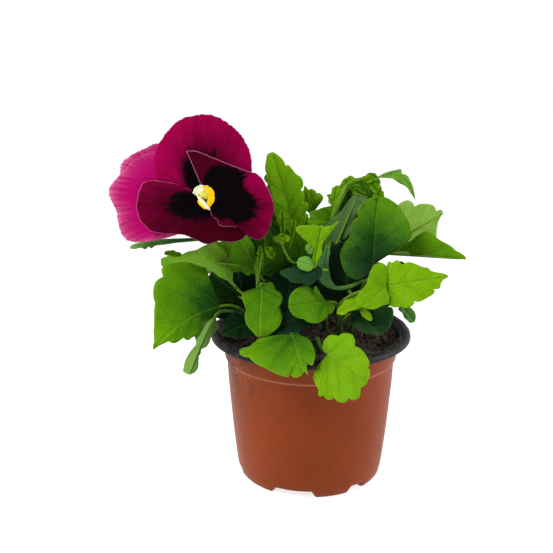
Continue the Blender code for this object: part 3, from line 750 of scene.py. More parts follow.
def form_side(form, half, length):
    """One side of a blade: its margin from heel to tip, the feet of its columns on the rib, and its veins."""
    angles = np.linspace(0, math.pi, SIDE_COLUMNS + 1)
    below = angles < math.pi / 2
    along = np.where(below, length * form.middle * (1 + form.lobe), length * (1 - form.middle))
    power = np.where(below, form.low, form.high)
    smooth = ((np.sin(angles) / half) ** power + (np.abs(np.cos(angles)) / along) ** power) ** (-1 / power)
    notch = NOTCH * form.lobe / (1 + form.lobe) * np.exp(-((angles / NOTCH_WIDTH) ** 2))
    smooth = smooth * (1 - below * notch)
    wave = np.abs(np.sin((form.teeth + 0.5) * angles)) ** SCALLOP_POWER - SCALLOP_MIDDLE
    radius = smooth * (1 + form.depth * np.minimum(1, 4 * angles / math.pi) * wave)
    widest = form.middle * length
    margin = np.column_stack([radius * np.sin(angles), widest - radius * np.cos(angles)])
    feet = RIB_END * np.maximum(0, widest - smooth * (np.cos(angles) + VEIN_SLANT * np.sin(angles)))
    lobe = np.floor(angles / math.pi * (form.teeth + 0.5) + 1e-9)
    vein = np.minimum(1, (lobe + 0.5) / (form.teeth + 0.5))
    return margin, feet, np.round(vein * SIDE_COLUMNS).astype(int)


def drawn_side(drawn, side):
    """The same for a margin that is drawn scallop by scallop, from the heel to the tip."""
    start, lobes = (0, drawn.heel), []
    for scallop in drawn.right if side > 0 else drawn.left:
        lobes.append(smooth_path([start, *scallop], 6))
        start = scallop[-1]
    lengths = [np.linalg.norm(np.diff(lobe, axis=0), axis=1).sum() for lobe in lobes]
    margin, veins = [lobes[0][:1]], [0]
    for number, (lobe, length) in enumerate(zip(lobes, lengths)):
        count = max(4, round(SIDE_COLUMNS * length / sum(lengths)))
        walked = np.concatenate([[0], np.cumsum(np.linalg.norm(np.diff(lobe, axis=0), axis=1))])
        wanted = np.linspace(0, length, count + 1)[1:]
        start = sum(len(part) for part in margin)
        margin.append(np.column_stack([np.interp(wanted, walked, lobe[:, axis]) for axis in (0, 1)]))
        last = number == len(lobes) - 1
        veins += [start - 1 + (count if last else count // 2)] * count
    margin = np.vstack(margin)
    feet = RIB_END * np.maximum.accumulate(np.maximum(0, margin[:, 1] - VEIN_SLANT * np.abs(margin[:, 0])))
    return margin, np.minimum(feet, RIB_END * margin[-1, 1]), np.array(veins)


# %% Bending a flat leaf
# A leaf: its form, where its heel and tip are, where its upper side looks, the half widths left and right
# of the rib, how lime its green is, lowered as painted shade for blades that stand in the shade of others,
# where its petiole starts, by how many degrees the rib droops and each half is folded up, how much the blade
# cups, how far the rib bows to the right, how much grey bloom and painted sheen lie on it and how much
# painted shade darkens its green towards the heel. A petiole starts at a share of its stem or at a place of
# its own.
# A blade with None has no petiole: it is a stipule, or it grows from a hidden shoot.
Leaf = namedtuple(
    "Leaf", "form heel tip face halves lime start bend folds cup bow grey deep",
    defaults=(0, (0, 0), 0, 0, 0, 0.15),
)


def half_arc(distance, start, curl):
    """Across and up after a distance along an arc that leaves at the angle start."""
    if abs(curl) < 1e-6:
        return distance * math.cos(start), distance * math.sin(start)
    end = start + curl * distance
    return (np.sin(end) - math.sin(start)) / curl, (math.cos(start) - np.cos(end)) / curl


class Blade:
    """Turns flat places on a leaf, across and along its rib, into places in space, in millimetres."""

    def __init__(self, leaf):
        heel, tip = np.array(leaf.heel, float), np.array(leaf.tip, float)
        chord = np.linalg.norm(tip - heel)
        half_bend = math.radians(leaf.bend) / 2
        self.leaf = leaf
        self.heel = heel
        self.along = unit(tip - heel)
        self.across = unit(np.cross(self.along, unit(leaf.face)))
        self.up = np.cross(self.across, self.along)
        self.length = chord if abs(half_bend) < 1e-6 else chord * half_bend / math.sin(half_bend)
        self.half_bend = half_bend

    def rib(self, along):
        """Places on the rib and the blade's own up, at distances from the heel."""
        along = np.asarray(along, float)
        turn = -2 * self.half_bend / self.length
        y, z = half_arc(along, self.half_bend, turn)
        slope = (self.half_bend + turn * along)[..., None]
        share = along / self.length
        bow = self.leaf.bow * 4 * share * (1 - share)
        place = self.heel + y[..., None] * self.along + z[..., None] * self.up + bow[..., None] * self.across
        return place, self.up * np.cos(slope) - self.along * np.sin(slope)

    def place(self, across, along, side):
        """Places on one half of the blade. The side is -1 on the left and 1 on the right."""
        middle, up = self.rib(along)
        half = self.leaf.halves[side > 0]
        fold = math.radians(self.leaf.folds[side > 0])
        out, lift = half_arc(np.abs(across), fold, math.radians(self.leaf.cup) / half)
        return middle + side * out[..., None] * self.across + lift[..., None] * up


# %% [markdown]
# ### The leaves' finish
# A pansy leaf is a mottled green that is paler along its veins, and its underside is paler still and less
# glossy. Its edge is paler too, partly a painted highlight where the thin edge catches the light, and painted
# shade darkens the furrows beside the veins. The distance to the vein, the rib and the margin is kept at each
# corner of the mesh, and the finish draws veins, shaded furrows and the edge from it. So the veins stay where
# they are on the blade however it bends, which a pattern in space would not do. A share of the light passes
# through.

# %% Leaf finish
def leaf_finish():
    leaf = Finish("leaf_blade")
    place = leaf.place()
    out, under, lime, grey = (leaf.value(name) for name in ("out", "under", "lime", "grey"))
    side_veins = (1 - leaf.step(leaf.value("vein"), 0.08, 0.5)) * (1 - 0.55 * out)
    ribs = 1 - leaf.step(leaf.value("rib"), 0.15, 0.75)
    veins = leaf.maths("MAXIMUM", side_veins, ribs)
    rim = 1 - leaf.step(leaf.value("edge"), 0.1, 0.8)
    net = leaf.node("TexVoronoi", {"feature": "DISTANCE_TO_EDGE"}, {"Vector": place, "Scale": 520})
    net = leaf.step(net, 0.0, 0.25)
    patches = leaf.cloud(place, 90, 4)
    # Painted shade: darker furrows on either side of each vein.
    painted_furrow_shade = (1 - leaf.step(leaf.value("vein"), 0.3, 2.4)) * (1 - 0.4 * out)
    # The lime value carries painted shade for blades in the shade of others and near each heel.
    shade = lime + 0.42 * (patches - 0.5) + 0.06 * net - 0.08 * painted_furrow_shade
    green = leaf.ramp(shade, [
        (0.0, (0.001, 0.012, 0.004)), (0.3, (0.010, 0.065, 0.003)), (0.6, (0.072, 0.215, 0.000)),
        (1.0, (0.185, 0.400, 0.000)),
    ])
    green = leaf.mix(veins * (0.06 + 0.22 * lime), green, (0.26, 0.46, 0.02))
    # A paler margin, partly a painted highlight where the thin edge catches the light.
    green = leaf.mix(0.4 * rim * lime, green, (0.27, 0.44, 0.02))
    # Grey bloom together with a painted bluish sheen.
    green = leaf.mix(0.7 * grey, green, leaf.mix(lime, (0.020, 0.080, 0.040), (0.130, 0.330, 0.110)))
    below = leaf.mix(lime, (0.035, 0.100, 0.035), (0.290, 0.480, 0.090))
    green = leaf.mix(under * (0.6 + 0.2 * patches), green, below)
    normal = leaf.bump((under * 2 - 1) * (0.8 * veins - 0.35 * net) + 0.6 * patches, 0.5, 0.0008)
    glow = leaf.glow(lime, (0.01, 0.08, 0.0), (0.25, 0.50, 0.0))
    return leaf.skin({
        "Base Color": green,
        "Roughness": 0.42 + 0.2 * patches + 0.15 * under,
        "Normal": normal,
        "Specular IOR Level": 0.07,
    }, glow, 0.2)


def stem_finish(name, pale, deep):
    stem = Finish(name)
    place = stem.place((1, 1, 0.25))
    streaks = stem.cloud(place, 420, 3)
    # Painted shade: the stems are darker low down, below about 8 cm, where the leaves above shade them.
    high = stem.step(stem.node("SeparateXYZ", None, {"Vector": stem.place()}, result="Z"), 0.078, 0.108)
    return stem.skin({
        "Base Color": stem.mix(high, (0.012, 0.040, 0.002), stem.mix(streaks, deep, pale)),
        "Roughness": 0.5,
        "Normal": stem.bump(streaks, 0.3, 0.0004),
        "Specular IOR Level": 0.2,
    })


blade_skin = leaf_finish()
stem_skin = stem_finish("leaf_stalk", (0.15, 0.31, 0.008), (0.045, 0.13, 0.002))

# %% Skins and relief
# How deep and how wide the furrows over the rib and the veins are, how high the quilting stands and how far
# from a vein, and the waves along a margin: how many there are and how high, from the least to the most.
RIB_SINK, RIB_WIDTH = 0.12, 0.8
VEIN_SINK, VEIN_WIDTH = 0.1, 0.6
QUILT_RISE, QUILT_WIDTH = 0.3, 1.4
WAVE_CYCLES = (2.2, 3.4)
WAVE_HEIGHTS = (0.4, 0.9)


def two_skins(grid, half):
    """The corners and faces of a sheet with two skins, half its thickness above and below the grid."""
    both = np.concatenate([grid + half, (grid - half)[:, ::-1]], axis=1)
    return both * MM, grid_faces(*both.shape[:2])


def mirrored(field):
    """A field's values at the corners of the upper skin, then of the lower one."""
    return np.concatenate([field, field[:, ::-1]], axis=1).ravel()


def blade_relief(chance, share, out, vein, rib):
    """How far the blade's skin stands above its middle sheet: sunken veins, quilting and a wavy margin."""
    furrow = -RIB_SINK * np.exp(-((rib / RIB_WIDTH) ** 2))
    veins = furrow - VEIN_SINK * np.exp(-((vein / VEIN_WIDTH) ** 2)) * (1 - out)
    quilt = QUILT_RISE * (1 - np.exp(-((vein / QUILT_WIDTH) ** 2))) * 4 * out * (1 - out)
    cycles, phase = chance.uniform(*WAVE_CYCLES), chance.uniform(0, 6.3)
    height = chance.uniform(*WAVE_HEIGHTS)
    wave = height * out**2 * np.sin(cycles * 2 * math.pi * share + phase) * np.sin(math.pi * share)
    return veins + quilt + wave


# %% Half a blade
LEAF_THICK = 0.45
BLADE_ROWS = 14
HEEL_SHADE_REACH = 0.85


def add_half(piece, leaf, blade, side, flat_side, chance):
    """One half of a blade: an upper skin, a lower skin and the margin between them."""
    margin, feet, veins = flat_side
    rows = np.linspace(0, 1, BLADE_ROWS + 1) ** 1.2
    foot = np.column_stack([np.zeros(len(feet)), feet])
    flat = foot[:, None] + (margin - foot)[:, None] * rows[None, :, None]
    vein = np.linalg.norm(flat - flat[veins], axis=2)
    rib, edge = np.abs(flat[:, :, 0]), np.linalg.norm(margin[:, None] - flat, axis=2)
    share = np.linspace(0, 1, len(margin))[:, None] + 0 * rib
    out = rows[None] + 0 * rib
    grid = blade.place(flat[:, :, 0], flat[:, :, 1], side)
    normals = -side * grid_normals(grid)
    ups = blade.rib(flat[:, :, 1])[1]
    normals[:, 0], normals[0], normals[-1] = ups[:, 0], ups[0], ups[-1]
    grid = grid + normals * blade_relief(chance, share, out, vein, rib)[..., None]
    half = normals * (LEAF_THICK / 2 * (1 - 0.6 * out))[..., None]
    both, faces = two_skins(grid, half)
    # Painted shade: the nearer a corner is to the heel, the darker its green, as if the leaves above shade
    # it.
    near = np.maximum(0, 1 - np.linalg.norm(flat, axis=2) / (HEEL_SHADE_REACH * blade.length))
    fields = {"vein": vein, "rib": rib, "edge": edge, "out": out, "near": near}
    fields = {name: mirrored(field) for name, field in fields.items()}
    lime = np.clip(leaf.lime - leaf.deep * fields.pop("near"), 0, 1)
    under = np.concatenate([0 * out, 0 * out + 1], axis=1).ravel()
    piece.add(both, faces[:, ::-1] if side > 0 else faces, under=under, lime=lime, grey=leaf.grey, **fields)


print("half a blade has", BLADE_ROWS, "rows of faces from its rib to its margin")

# %% A blade with its rib
# Radii from the base to the tip, in millimetres, and the length from which a blade has them in full.
RIB_RADII = (0.7, 0.2)
RIB_FULL = 30
RIB_STEPS = 16


def add_blade(piece, leaf, label):
    """Both halves of a blade and the rib below them. A blade's label seeds its waves."""
    blade = Blade(leaf)
    chance = random.Random(label)
    for side in (-1, 1):
        if label in DRAWN_MARGINS:
            flat_side = drawn_side(DRAWN_MARGINS[label], side)
        else:
            flat_side = form_side(FORMS[leaf.form], leaf.halves[side > 0], blade.length)
        add_half(piece, leaf, blade, side, flat_side, chance)
    along = np.linspace(0, RIB_END * blade.length, RIB_STEPS)
    radii = np.linspace(*RIB_RADII, len(along)) * min(1, blade.length / RIB_FULL)
    place, up = blade.rib(along)
    piece.add_tube((place - up * (radii[:, None] + 0.2)) * MM, radii * MM, 8, 1)


# %% A petiole
# The same for the stalk of a leaf. It leaves the stem partly upward, and its curve is pulled at either end by
# a share of its length.
PETIOLE_RADII = (1.05, 0.7)
PETIOLE_FULL = 22
PETIOLE_STEPS = 18
PETIOLE_UP = (0, 0, 0.9)
PETIOLE_PULL = 0.35


def add_petiole(piece, leaf, axis):
    """The stalk of one leaf, which leaves the stem upward and bends into the rib."""
    blade = Blade(leaf)
    begin = np.array(leaf.start, float)
    if begin.ndim == 0:
        begin = axis[round(leaf.start * (len(axis) - 1))]
    apart = np.linalg.norm(blade.heel - begin)
    leave = unit(unit(blade.heel - begin) + np.array(PETIOLE_UP)) * apart * PETIOLE_PULL
    arrive = unit(blade.rib(0.02 * blade.length)[0] - blade.heel) * apart * PETIOLE_PULL
    share = np.linspace(0, 1, PETIOLE_STEPS)[:, None]
    path = (begin * (1 - share) ** 3 + 3 * (begin + leave) * share * (1 - share) ** 2
            + 3 * (blade.heel - arrive) * share**2 * (1 - share) + blade.heel * share**3)
    up = blade.rib(0.0)[1]
    radii = np.linspace(*PETIOLE_RADII, len(path)) * min(1, 0.35 + blade.length / PETIOLE_FULL)
    sink = share**3 * (radii[:, None] + 0.2) * up
    piece.add_tube((path - sink) * MM, radii * MM, 10, 1)


# %% [markdown]
# ## The leafy stems
# Ten short stems rise from the soil, and each carries two to sixteen leaves, from large blades on petioles to
# stipules and the curled young leaves at the top of the shoot. Each leaf is placed by its heel and its tip,
# and its upper side looks along its face. The leaves in front are drawn scallop by scallop, and the others
# follow one of the forms above. Dark blades stand deep between the stems, where a full pot lies in shade, and
# their near-black green is painted shade. A plant generator would grow a likely pansy, while a table of
# places grows this one.

# %% Drawn margins
# A margin starts on the rib, as far along it as its heel says. It is drawn scallop by scallop, first on the
# left of the rib and then on the right. A place is how far it is out from the rib and how far along it. Each
# scallop starts where the one before it ends, and the last one ends at the tip.
Margin = namedtuple("Margin", "heel left right")
DRAWN_MARGINS = {
    "left_low_0": Margin(0, [
        [(3.5, 1), (5, 3.5), (5, 8), (4, 12)], [(7, 14), (9, 17), (9, 20)], [(9, 22.5), (8, 23.5), (6.5, 24)],
        [(6.5, 26.5), (5.5, 29.5), (3, 31)], [(2, 33.5), (1, 36), (0, 39.5)],
    ], [
        [(5.5, -1.5), (14.5, -3), (22.5, -4), (27.5, -2), (29, 3)],
        [(30.5, 7), (30, 10.5), (29, 14), (27, 15.5), (24.5, 16)],
        [(24.5, 20), (21.5, 23.5), (18, 25.5), (16, 26)], [(14, 28), (10, 31), (6, 34.5), (2.5, 37)],
        [(1.5, 39), (0, 39.5)],
    ]),
    "left_low_1": Margin(-1, [
        [(4, 1), (10.5, 1), (13, 3.5), (11, 8), (5, 15.5)], [(6, 20), (7.5, 25.5), (7, 29)],
        [(6, 31), (2, 32), (0, 32)],
    ], [
        [(4, 3), (3.5, 7.5), (2.5, 10.5), (3, 13), (2.5, 16), (0.5, 18)], [(1, 20), (0.5, 21.5)],
        [(1.5, 24), (3, 27), (2, 30), (0, 32)],
    ]),
    "left_0": Margin(0, [
        [(1, 7), (2, 11.5), (1.5, 18), (1.5, 24), (1, 29.5), (1.5, 34.5), (2.5, 39), (3.5, 41.5)],
        [(3.5, 43), (1.5, 44), (0, 44.5)],
    ], [
        [(1, 5), (5.5, 9.5), (11, 9.5), (20, 7.5)], [(19.5, 9), (18.5, 10)],
        [(19, 11.5), (18, 13), (16.5, 15.5), (15, 16)], [(14.5, 18.5), (13.5, 20.5), (12, 21.5)],
        [(9.5, 24.5), (6, 28.5), (5, 31.5)], [(3.5, 34), (1.5, 35.5)], [(1.5, 38.5), (2, 41.5), (1.5, 43)],
        [(1, 44.5), (0, 44.5)],
    ]),
    "left_1": Margin(-0.5, [
        [(1, -2.5), (3.5, -5.5), (6, -6), (7.5, -3.5)], [(8.5, -2), (11, -1.5), (12.5, 0.5)],
        [(12.5, 3.5), (10.5, 7.5), (7.5, 12)], [(4.5, 15), (2, 18.5), (0, 20.5)],
    ], [
        [(2, -0.5), (3.5, 2.5), (4.5, 6.5)], [(5.5, 10), (4.5, 13.5)], [(3, 16.5), (1.5, 19.5), (0, 20.5)],
    ]),
    "front_0": Margin(1, [
        [(2.5, -1), (4, -2), (6, -1), (7.5, 2.5)], [(9.5, 4), (11, 7), (10.5, 10.5), (8, 13.5)],
        [(10, 14.5), (11, 17.5), (9.5, 22), (6, 25.5), (3, 27), (0, 27.5)],
    ], [
        [(3, 2.5), (6.5, 3), (9, 4.5), (9, 8.5), (7, 14)],
        [(7.5, 17), (6.5, 21.5), (3.5, 25), (1, 27.5), (0, 27.5)],
    ]),
    "right_front_0": Margin(2.5, [
        [(0.5, -1), (2, -3), (4, -2.5), (6, 0), (6.5, 2.5)],
        [(8.5, 4.5), (10, 8.5), (10, 12.5), (9, 15.5), (7.5, 16.5)],
        [(6.5, 19), (5, 21), (2.5, 22.5), (0, 23)],
    ], [
        [(2.5, 3), (5, 5), (4.5, 7)], [(6.5, 5.5), (8.5, 6.5), (8, 8), (6, 9)],
        [(8, 10), (9, 12.5), (9, 15.5), (8, 18.5)], [(6, 20.5), (3.5, 22), (0, 23)],
    ]),
    "rim_0": Margin(0, [
        [(2, -0.5), (6.5, 5.5)], [(8, 10), (8, 16), (6.5, 20), (5, 22), (3.5, 20.5)],
        [(2.5, 21), (2, 24), (2, 26.5)], [(1, 24), (0, 24)],
    ], [
        [(4, -2), (9.5, -4), (15.5, -5)], [(19.5, -2), (23, -0.5), (26.5, -1.5)],
        [(26.5, 2), (24.5, 5), (22.5, 6.5)],
        [(22, 8.5), (19.5, 12.5), (15.5, 16.5), (12.5, 20), (9, 23), (7, 24), (6, 22.5)],
        [(5.5, 24.5), (3.5, 25.5), (1, 25), (0, 24)],
    ]),
    "rim_1": Margin(0.5, [
        [(0.5, -3), (4, -5.5), (8, -5), (9.5, -3), (10, -1)],
        [(12.5, 0.5), (14, 4), (13.5, 6.5), (11.5, 9), (10, 9.5)],
        [(10.5, 12.5), (9.5, 16.5), (7.5, 20), (5, 21)], [(4.5, 22.5), (2.5, 24), (0, 24.5)],
    ], [
        [(5, 0.5), (8.5, 0.5), (12.5, 1.5), (14.5, 4), (17, 9)], [(19.5, 11), (19.5, 12.5), (18, 12.5)],
        [(18.5, 14.5), (18, 16), (16.5, 17), (15.5, 17)], [(16, 19.5), (15, 22), (13.5, 23), (12, 22.5)],
        [(12, 24.5), (10, 26), (8, 26), (4.5, 24)], [(2, 25), (0, 24.5)],
    ]),
    "right_front_2": Margin(-0.5, [
        [(3, 0.5), (7, 2), (11, 2.5)], [(12, 3.5), (11.5, 4.5), (10, 5)],
        [(11.5, 6), (12, 8), (11, 9), (9.5, 9.5)], [(10, 13), (8.5, 16.5), (6.5, 20), (6, 22)],
        [(4, 23.5), (2.5, 27.5), (2, 29)], [(1, 30.5), (0, 31)],
    ], [
        [(3, -1.5), (7, -0.5), (10, 1), (11, 3), (11, 4.5)],
        [(11, 6.5), (12, 7.5), (12, 11), (10.5, 13), (9.5, 13)],
        [(10, 15.5), (8.5, 19.5), (7.5, 22), (6, 23.5), (5, 23)], [(5, 26), (2.5, 27), (1, 28.5)],
        [(0.5, 30), (0, 31)],
    ]),
    "right_0": Margin(0.5, [
        [(1.5, -3), (6, -7.5), (11, -8), (14.5, -6.5)], [(17.5, -2.5), (18.5, 4), (16.5, 9.5), (14, 14)],
        [(14, 18.5), (12, 22.5), (9.5, 24.5)], [(10, 27.5), (8.5, 30.5), (5.5, 33.5), (2.5, 35)],
        [(1, 35.5), (0, 35.5)],
    ], [
        [(3, 3), (7.5, 6.5), (11.5, 9)], [(16, 12), (19, 15.5), (19, 19)],
        [(18, 23), (15.5, 26.5), (13, 29.5)], [(10.5, 32), (6.5, 34.5), (3.5, 35.5), (0, 35.5)],
    ]),
    "right_1": Margin(2, [
        [(0.5, 4.5), (3, 7), (4, 10)], [(3.5, 15.5), (3.5, 21), (4.5, 25.5)],
        [(5.5, 29), (3.5, 30), (0, 30.5)],
    ], [
        [(3.5, 2.5), (5, 3.5), (7.5, 6), (9, 8.5)], [(7, 14), (4.5, 18.5), (3.5, 23.5)],
        [(2.5, 26.5), (1.5, 29), (0, 30.5)],
    ]),
    "right_3": Margin(2, [
        [(6, 9), (9, 15), (11, 22.5)], [(6.5, 24), (3, 26)], [(1.5, 28), (0, 30)],
    ], [
        [(9, 4.5), (17, 7.5), (18.5, 10.5)], [(18.5, 13.5), (17, 16.5), (14.5, 18), (12, 18)],
        [(12, 21), (9.5, 25), (6.5, 27.5), (3, 27.5)], [(3, 29), (2, 30.5), (0, 30)],
    ]),
    "centre_0": Margin(-0.5, [
        [(3.5, 2.5), (7, 6), (8, 9.5)], [(7.5, 15), (7.5, 20.5), (7, 25.5), (7, 28.5)],
        [(8, 30.5), (8, 32.5), (6.5, 33.5)], [(6.5, 36.5), (4.5, 40.5), (3, 43), (0, 43.5)],
    ], [
        [(2.5, 1.5), (6.5, 5), (9, 7.5), (7.5, 9.5)], [(10, 11.5), (10, 14.5), (7.5, 15)],
        [(9.5, 17), (9.5, 20), (8.5, 21)], [(10.5, 23.5), (10.5, 27), (8.5, 29.5)],
        [(7, 33), (6, 35), (4.5, 35)], [(4, 38), (2, 41.5), (0, 43.5)],
    ]),
    "centre_3": Margin(0, [
        [(2, 1), (1.5, 4), (1.5, 8), (2.5, 11)], [(3.5, 14.5), (5.5, 17), (8, 17), (10, 17.5)],
        [(12, 19), (12, 21), (10, 22.5), (7, 23), (3, 23.5), (0, 23.5)],
    ], [
        [(1, 2), (1.5, 6), (2.5, 10), (2, 12.5)], [(2.5, 16.5), (4.5, 21), (7, 26), (8, 27.5)],
        [(7, 27.5), (4.5, 25), (1, 23.5), (0, 23.5)],
    ]),
    "right_2": Margin(0, [
        [(2, 2), (2.5, 4.5), (1.5, 9)], [(2, 13.5), (4, 19), (6, 23), (5.5, 26), (0, 27)],
    ], [
        [(0, 2), (0, 4.5), (0.5, 8.5)], [(2.5, 13.5), (4, 17.5), (4, 21.5), (4, 23.5), (0, 27)],
    ]),
    "right_5": Margin(-1, [
        [(6, 1), (9, 5), (10, 11), (9, 17.5), (7, 22)], [(3.5, 24), (0, 25)],
    ], [
        [(4.5, 1), (9, 3.5), (12.5, 7)], [(13, 12.5), (9.5, 18), (4.5, 23.5), (0, 25)],
    ]),
    "right_4": Margin(-1, [
        [(2.5, 2.5), (6.5, 6.5), (8.5, 10)], [(12, 13), (14, 17.5), (12.5, 21), (11, 23)],
        [(8.5, 26.5), (6.5, 30), (4.5, 32.5)], [(3.5, 35), (1.5, 37.5), (0, 38)],
    ], [
        [(5.5, 2.5), (6, 6.5), (4, 9.5), (0.5, 9.5)], [(1, 15), (1, 21)], [(1, 27.5), (0.8, 33), (0, 38)],
    ]),
    "centre_2": Margin(-0.5, [
        [(3, 2.5), (4, 5.5), (4.5, 10), (3.5, 13)], [(3, 15), (2, 14.5), (0.5, 12.5)],
        [(0.2, 13.2), (0, 13.5)],
    ], [
        [(2.5, 2.5), (4.5, 5)], [(6.5, 7), (6.5, 9), (5, 11)], [(3.5, 11), (2.5, 12.5), (0, 13.5)],
    ]),
    "shoot_0": Margin(-0.5, [
        [(1.5, 0.5), (3, 1.5), (3.5, 3.5)], [(4.5, 5), (3.5, 5.5), (2.5, 6)],
        [(2.5, 8.5), (1.5, 10), (0, 11)],
    ], [
        [(2.5, 1.5), (3.5, 5)], [(4.5, 8), (4.5, 10), (4, 11)], [(3, 11), (2, 9.5), (1.5, 10.5), (0, 11)],
    ]),
    "shoot_1": Margin(-0.5, [
        [(2.5, 3.5), (2.5, 8), (3, 11.5)], [(2.5, 14), (1.5, 15.5), (0, 15.5)],
    ], [
        [(4.5, -1), (8.5, 0.5), (8.5, 3)], [(7.5, 6.5), (6.5, 9), (5.5, 10.5)],
        [(5, 12.5), (4.5, 14), (3, 15)], [(1.5, 14.5), (0, 15.5)],
    ]),
    "shoot_4": Margin(0, [
        [(2, 3), (3.2, 7)], [(4.8, 9.5), (3, 11)], [(3.4, 14), (2.2, 16)], [(2, 19), (0, 23.5)],
    ], [
        [(1.6, 4), (2.5, 9)], [(2.5, 14), (1.5, 19), (0, 23.5)],
    ]),
    "centre_4": Margin(-0.5, [
        [(2.5, 0.5), (3.5, 2)], [(3.5, 4), (3, 6.5)], [(2, 8), (0, 8.5)],
    ], [
        [(2, 1), (3, 2)], [(4, 3.5), (3.5, 5.5), (3, 6.5)], [(2, 8), (0, 8.5)],
    ]),
    "right_front_4": Margin(0, [
        [(2.5, 1), (4, 3.5), (4.5, 7)], [(3, 9.5), (3.5, 12.5), (1.5, 14), (0, 15)],
    ], [
        [(3.5, 1), (4.5, 5.5)], [(4.5, 9.5), (2.5, 13), (0, 15)],
    ]),
    "front_2": Margin(-2, [
        [(4.5, 2), (7.5, 6.5)], [(8.5, 9.5), (8, 12), (7, 14)],
        [(8.5, 15.5), (9.5, 19.5), (8.5, 23.5), (6.5, 26), (3, 27.5), (0, 27)],
    ], [
        [(4, 3), (6.5, 10)], [(6.5, 17), (4.5, 23.5), (0, 27)],
    ]),
    "right_front_1": Margin(-2, [
        [(6, -1), (10.5, 3), (13, 8.5)], [(15, 12), (13, 14.5), (10, 16.5)], [(5, 18), (0, 17.5)],
    ], [
        [(5.5, 1.5), (8, 6), (8, 9.5)], [(6, 13), (2.5, 16), (0, 17.5)],
    ]),
    "back_right_4": Margin(0, [
        [(2.5, 2.5), (3.5, 5)], [(3.5, 7.5), (2, 10), (0, 11.5)],
    ], [
        [(2.5, 0.5), (2.5, 4)], [(3, 7), (2.5, 10), (0, 11.5)],
    ]),
    "right_front_3": Margin(0, [
        [(4, 1.5), (7, 4.5)], [(5.5, 8), (5, 11), (3.5, 13.5), (0, 16)],
    ], [
        [(4, -4.5), (8.5, -7), (11.5, -5.5)], [(12, -1.5), (10, 3), (7.5, 7), (6.5, 11.5)],
        [(5.5, 15), (2.5, 17), (0, 16)],
    ]),
}
print(len(DRAWN_MARGINS), "margins drawn by hand")

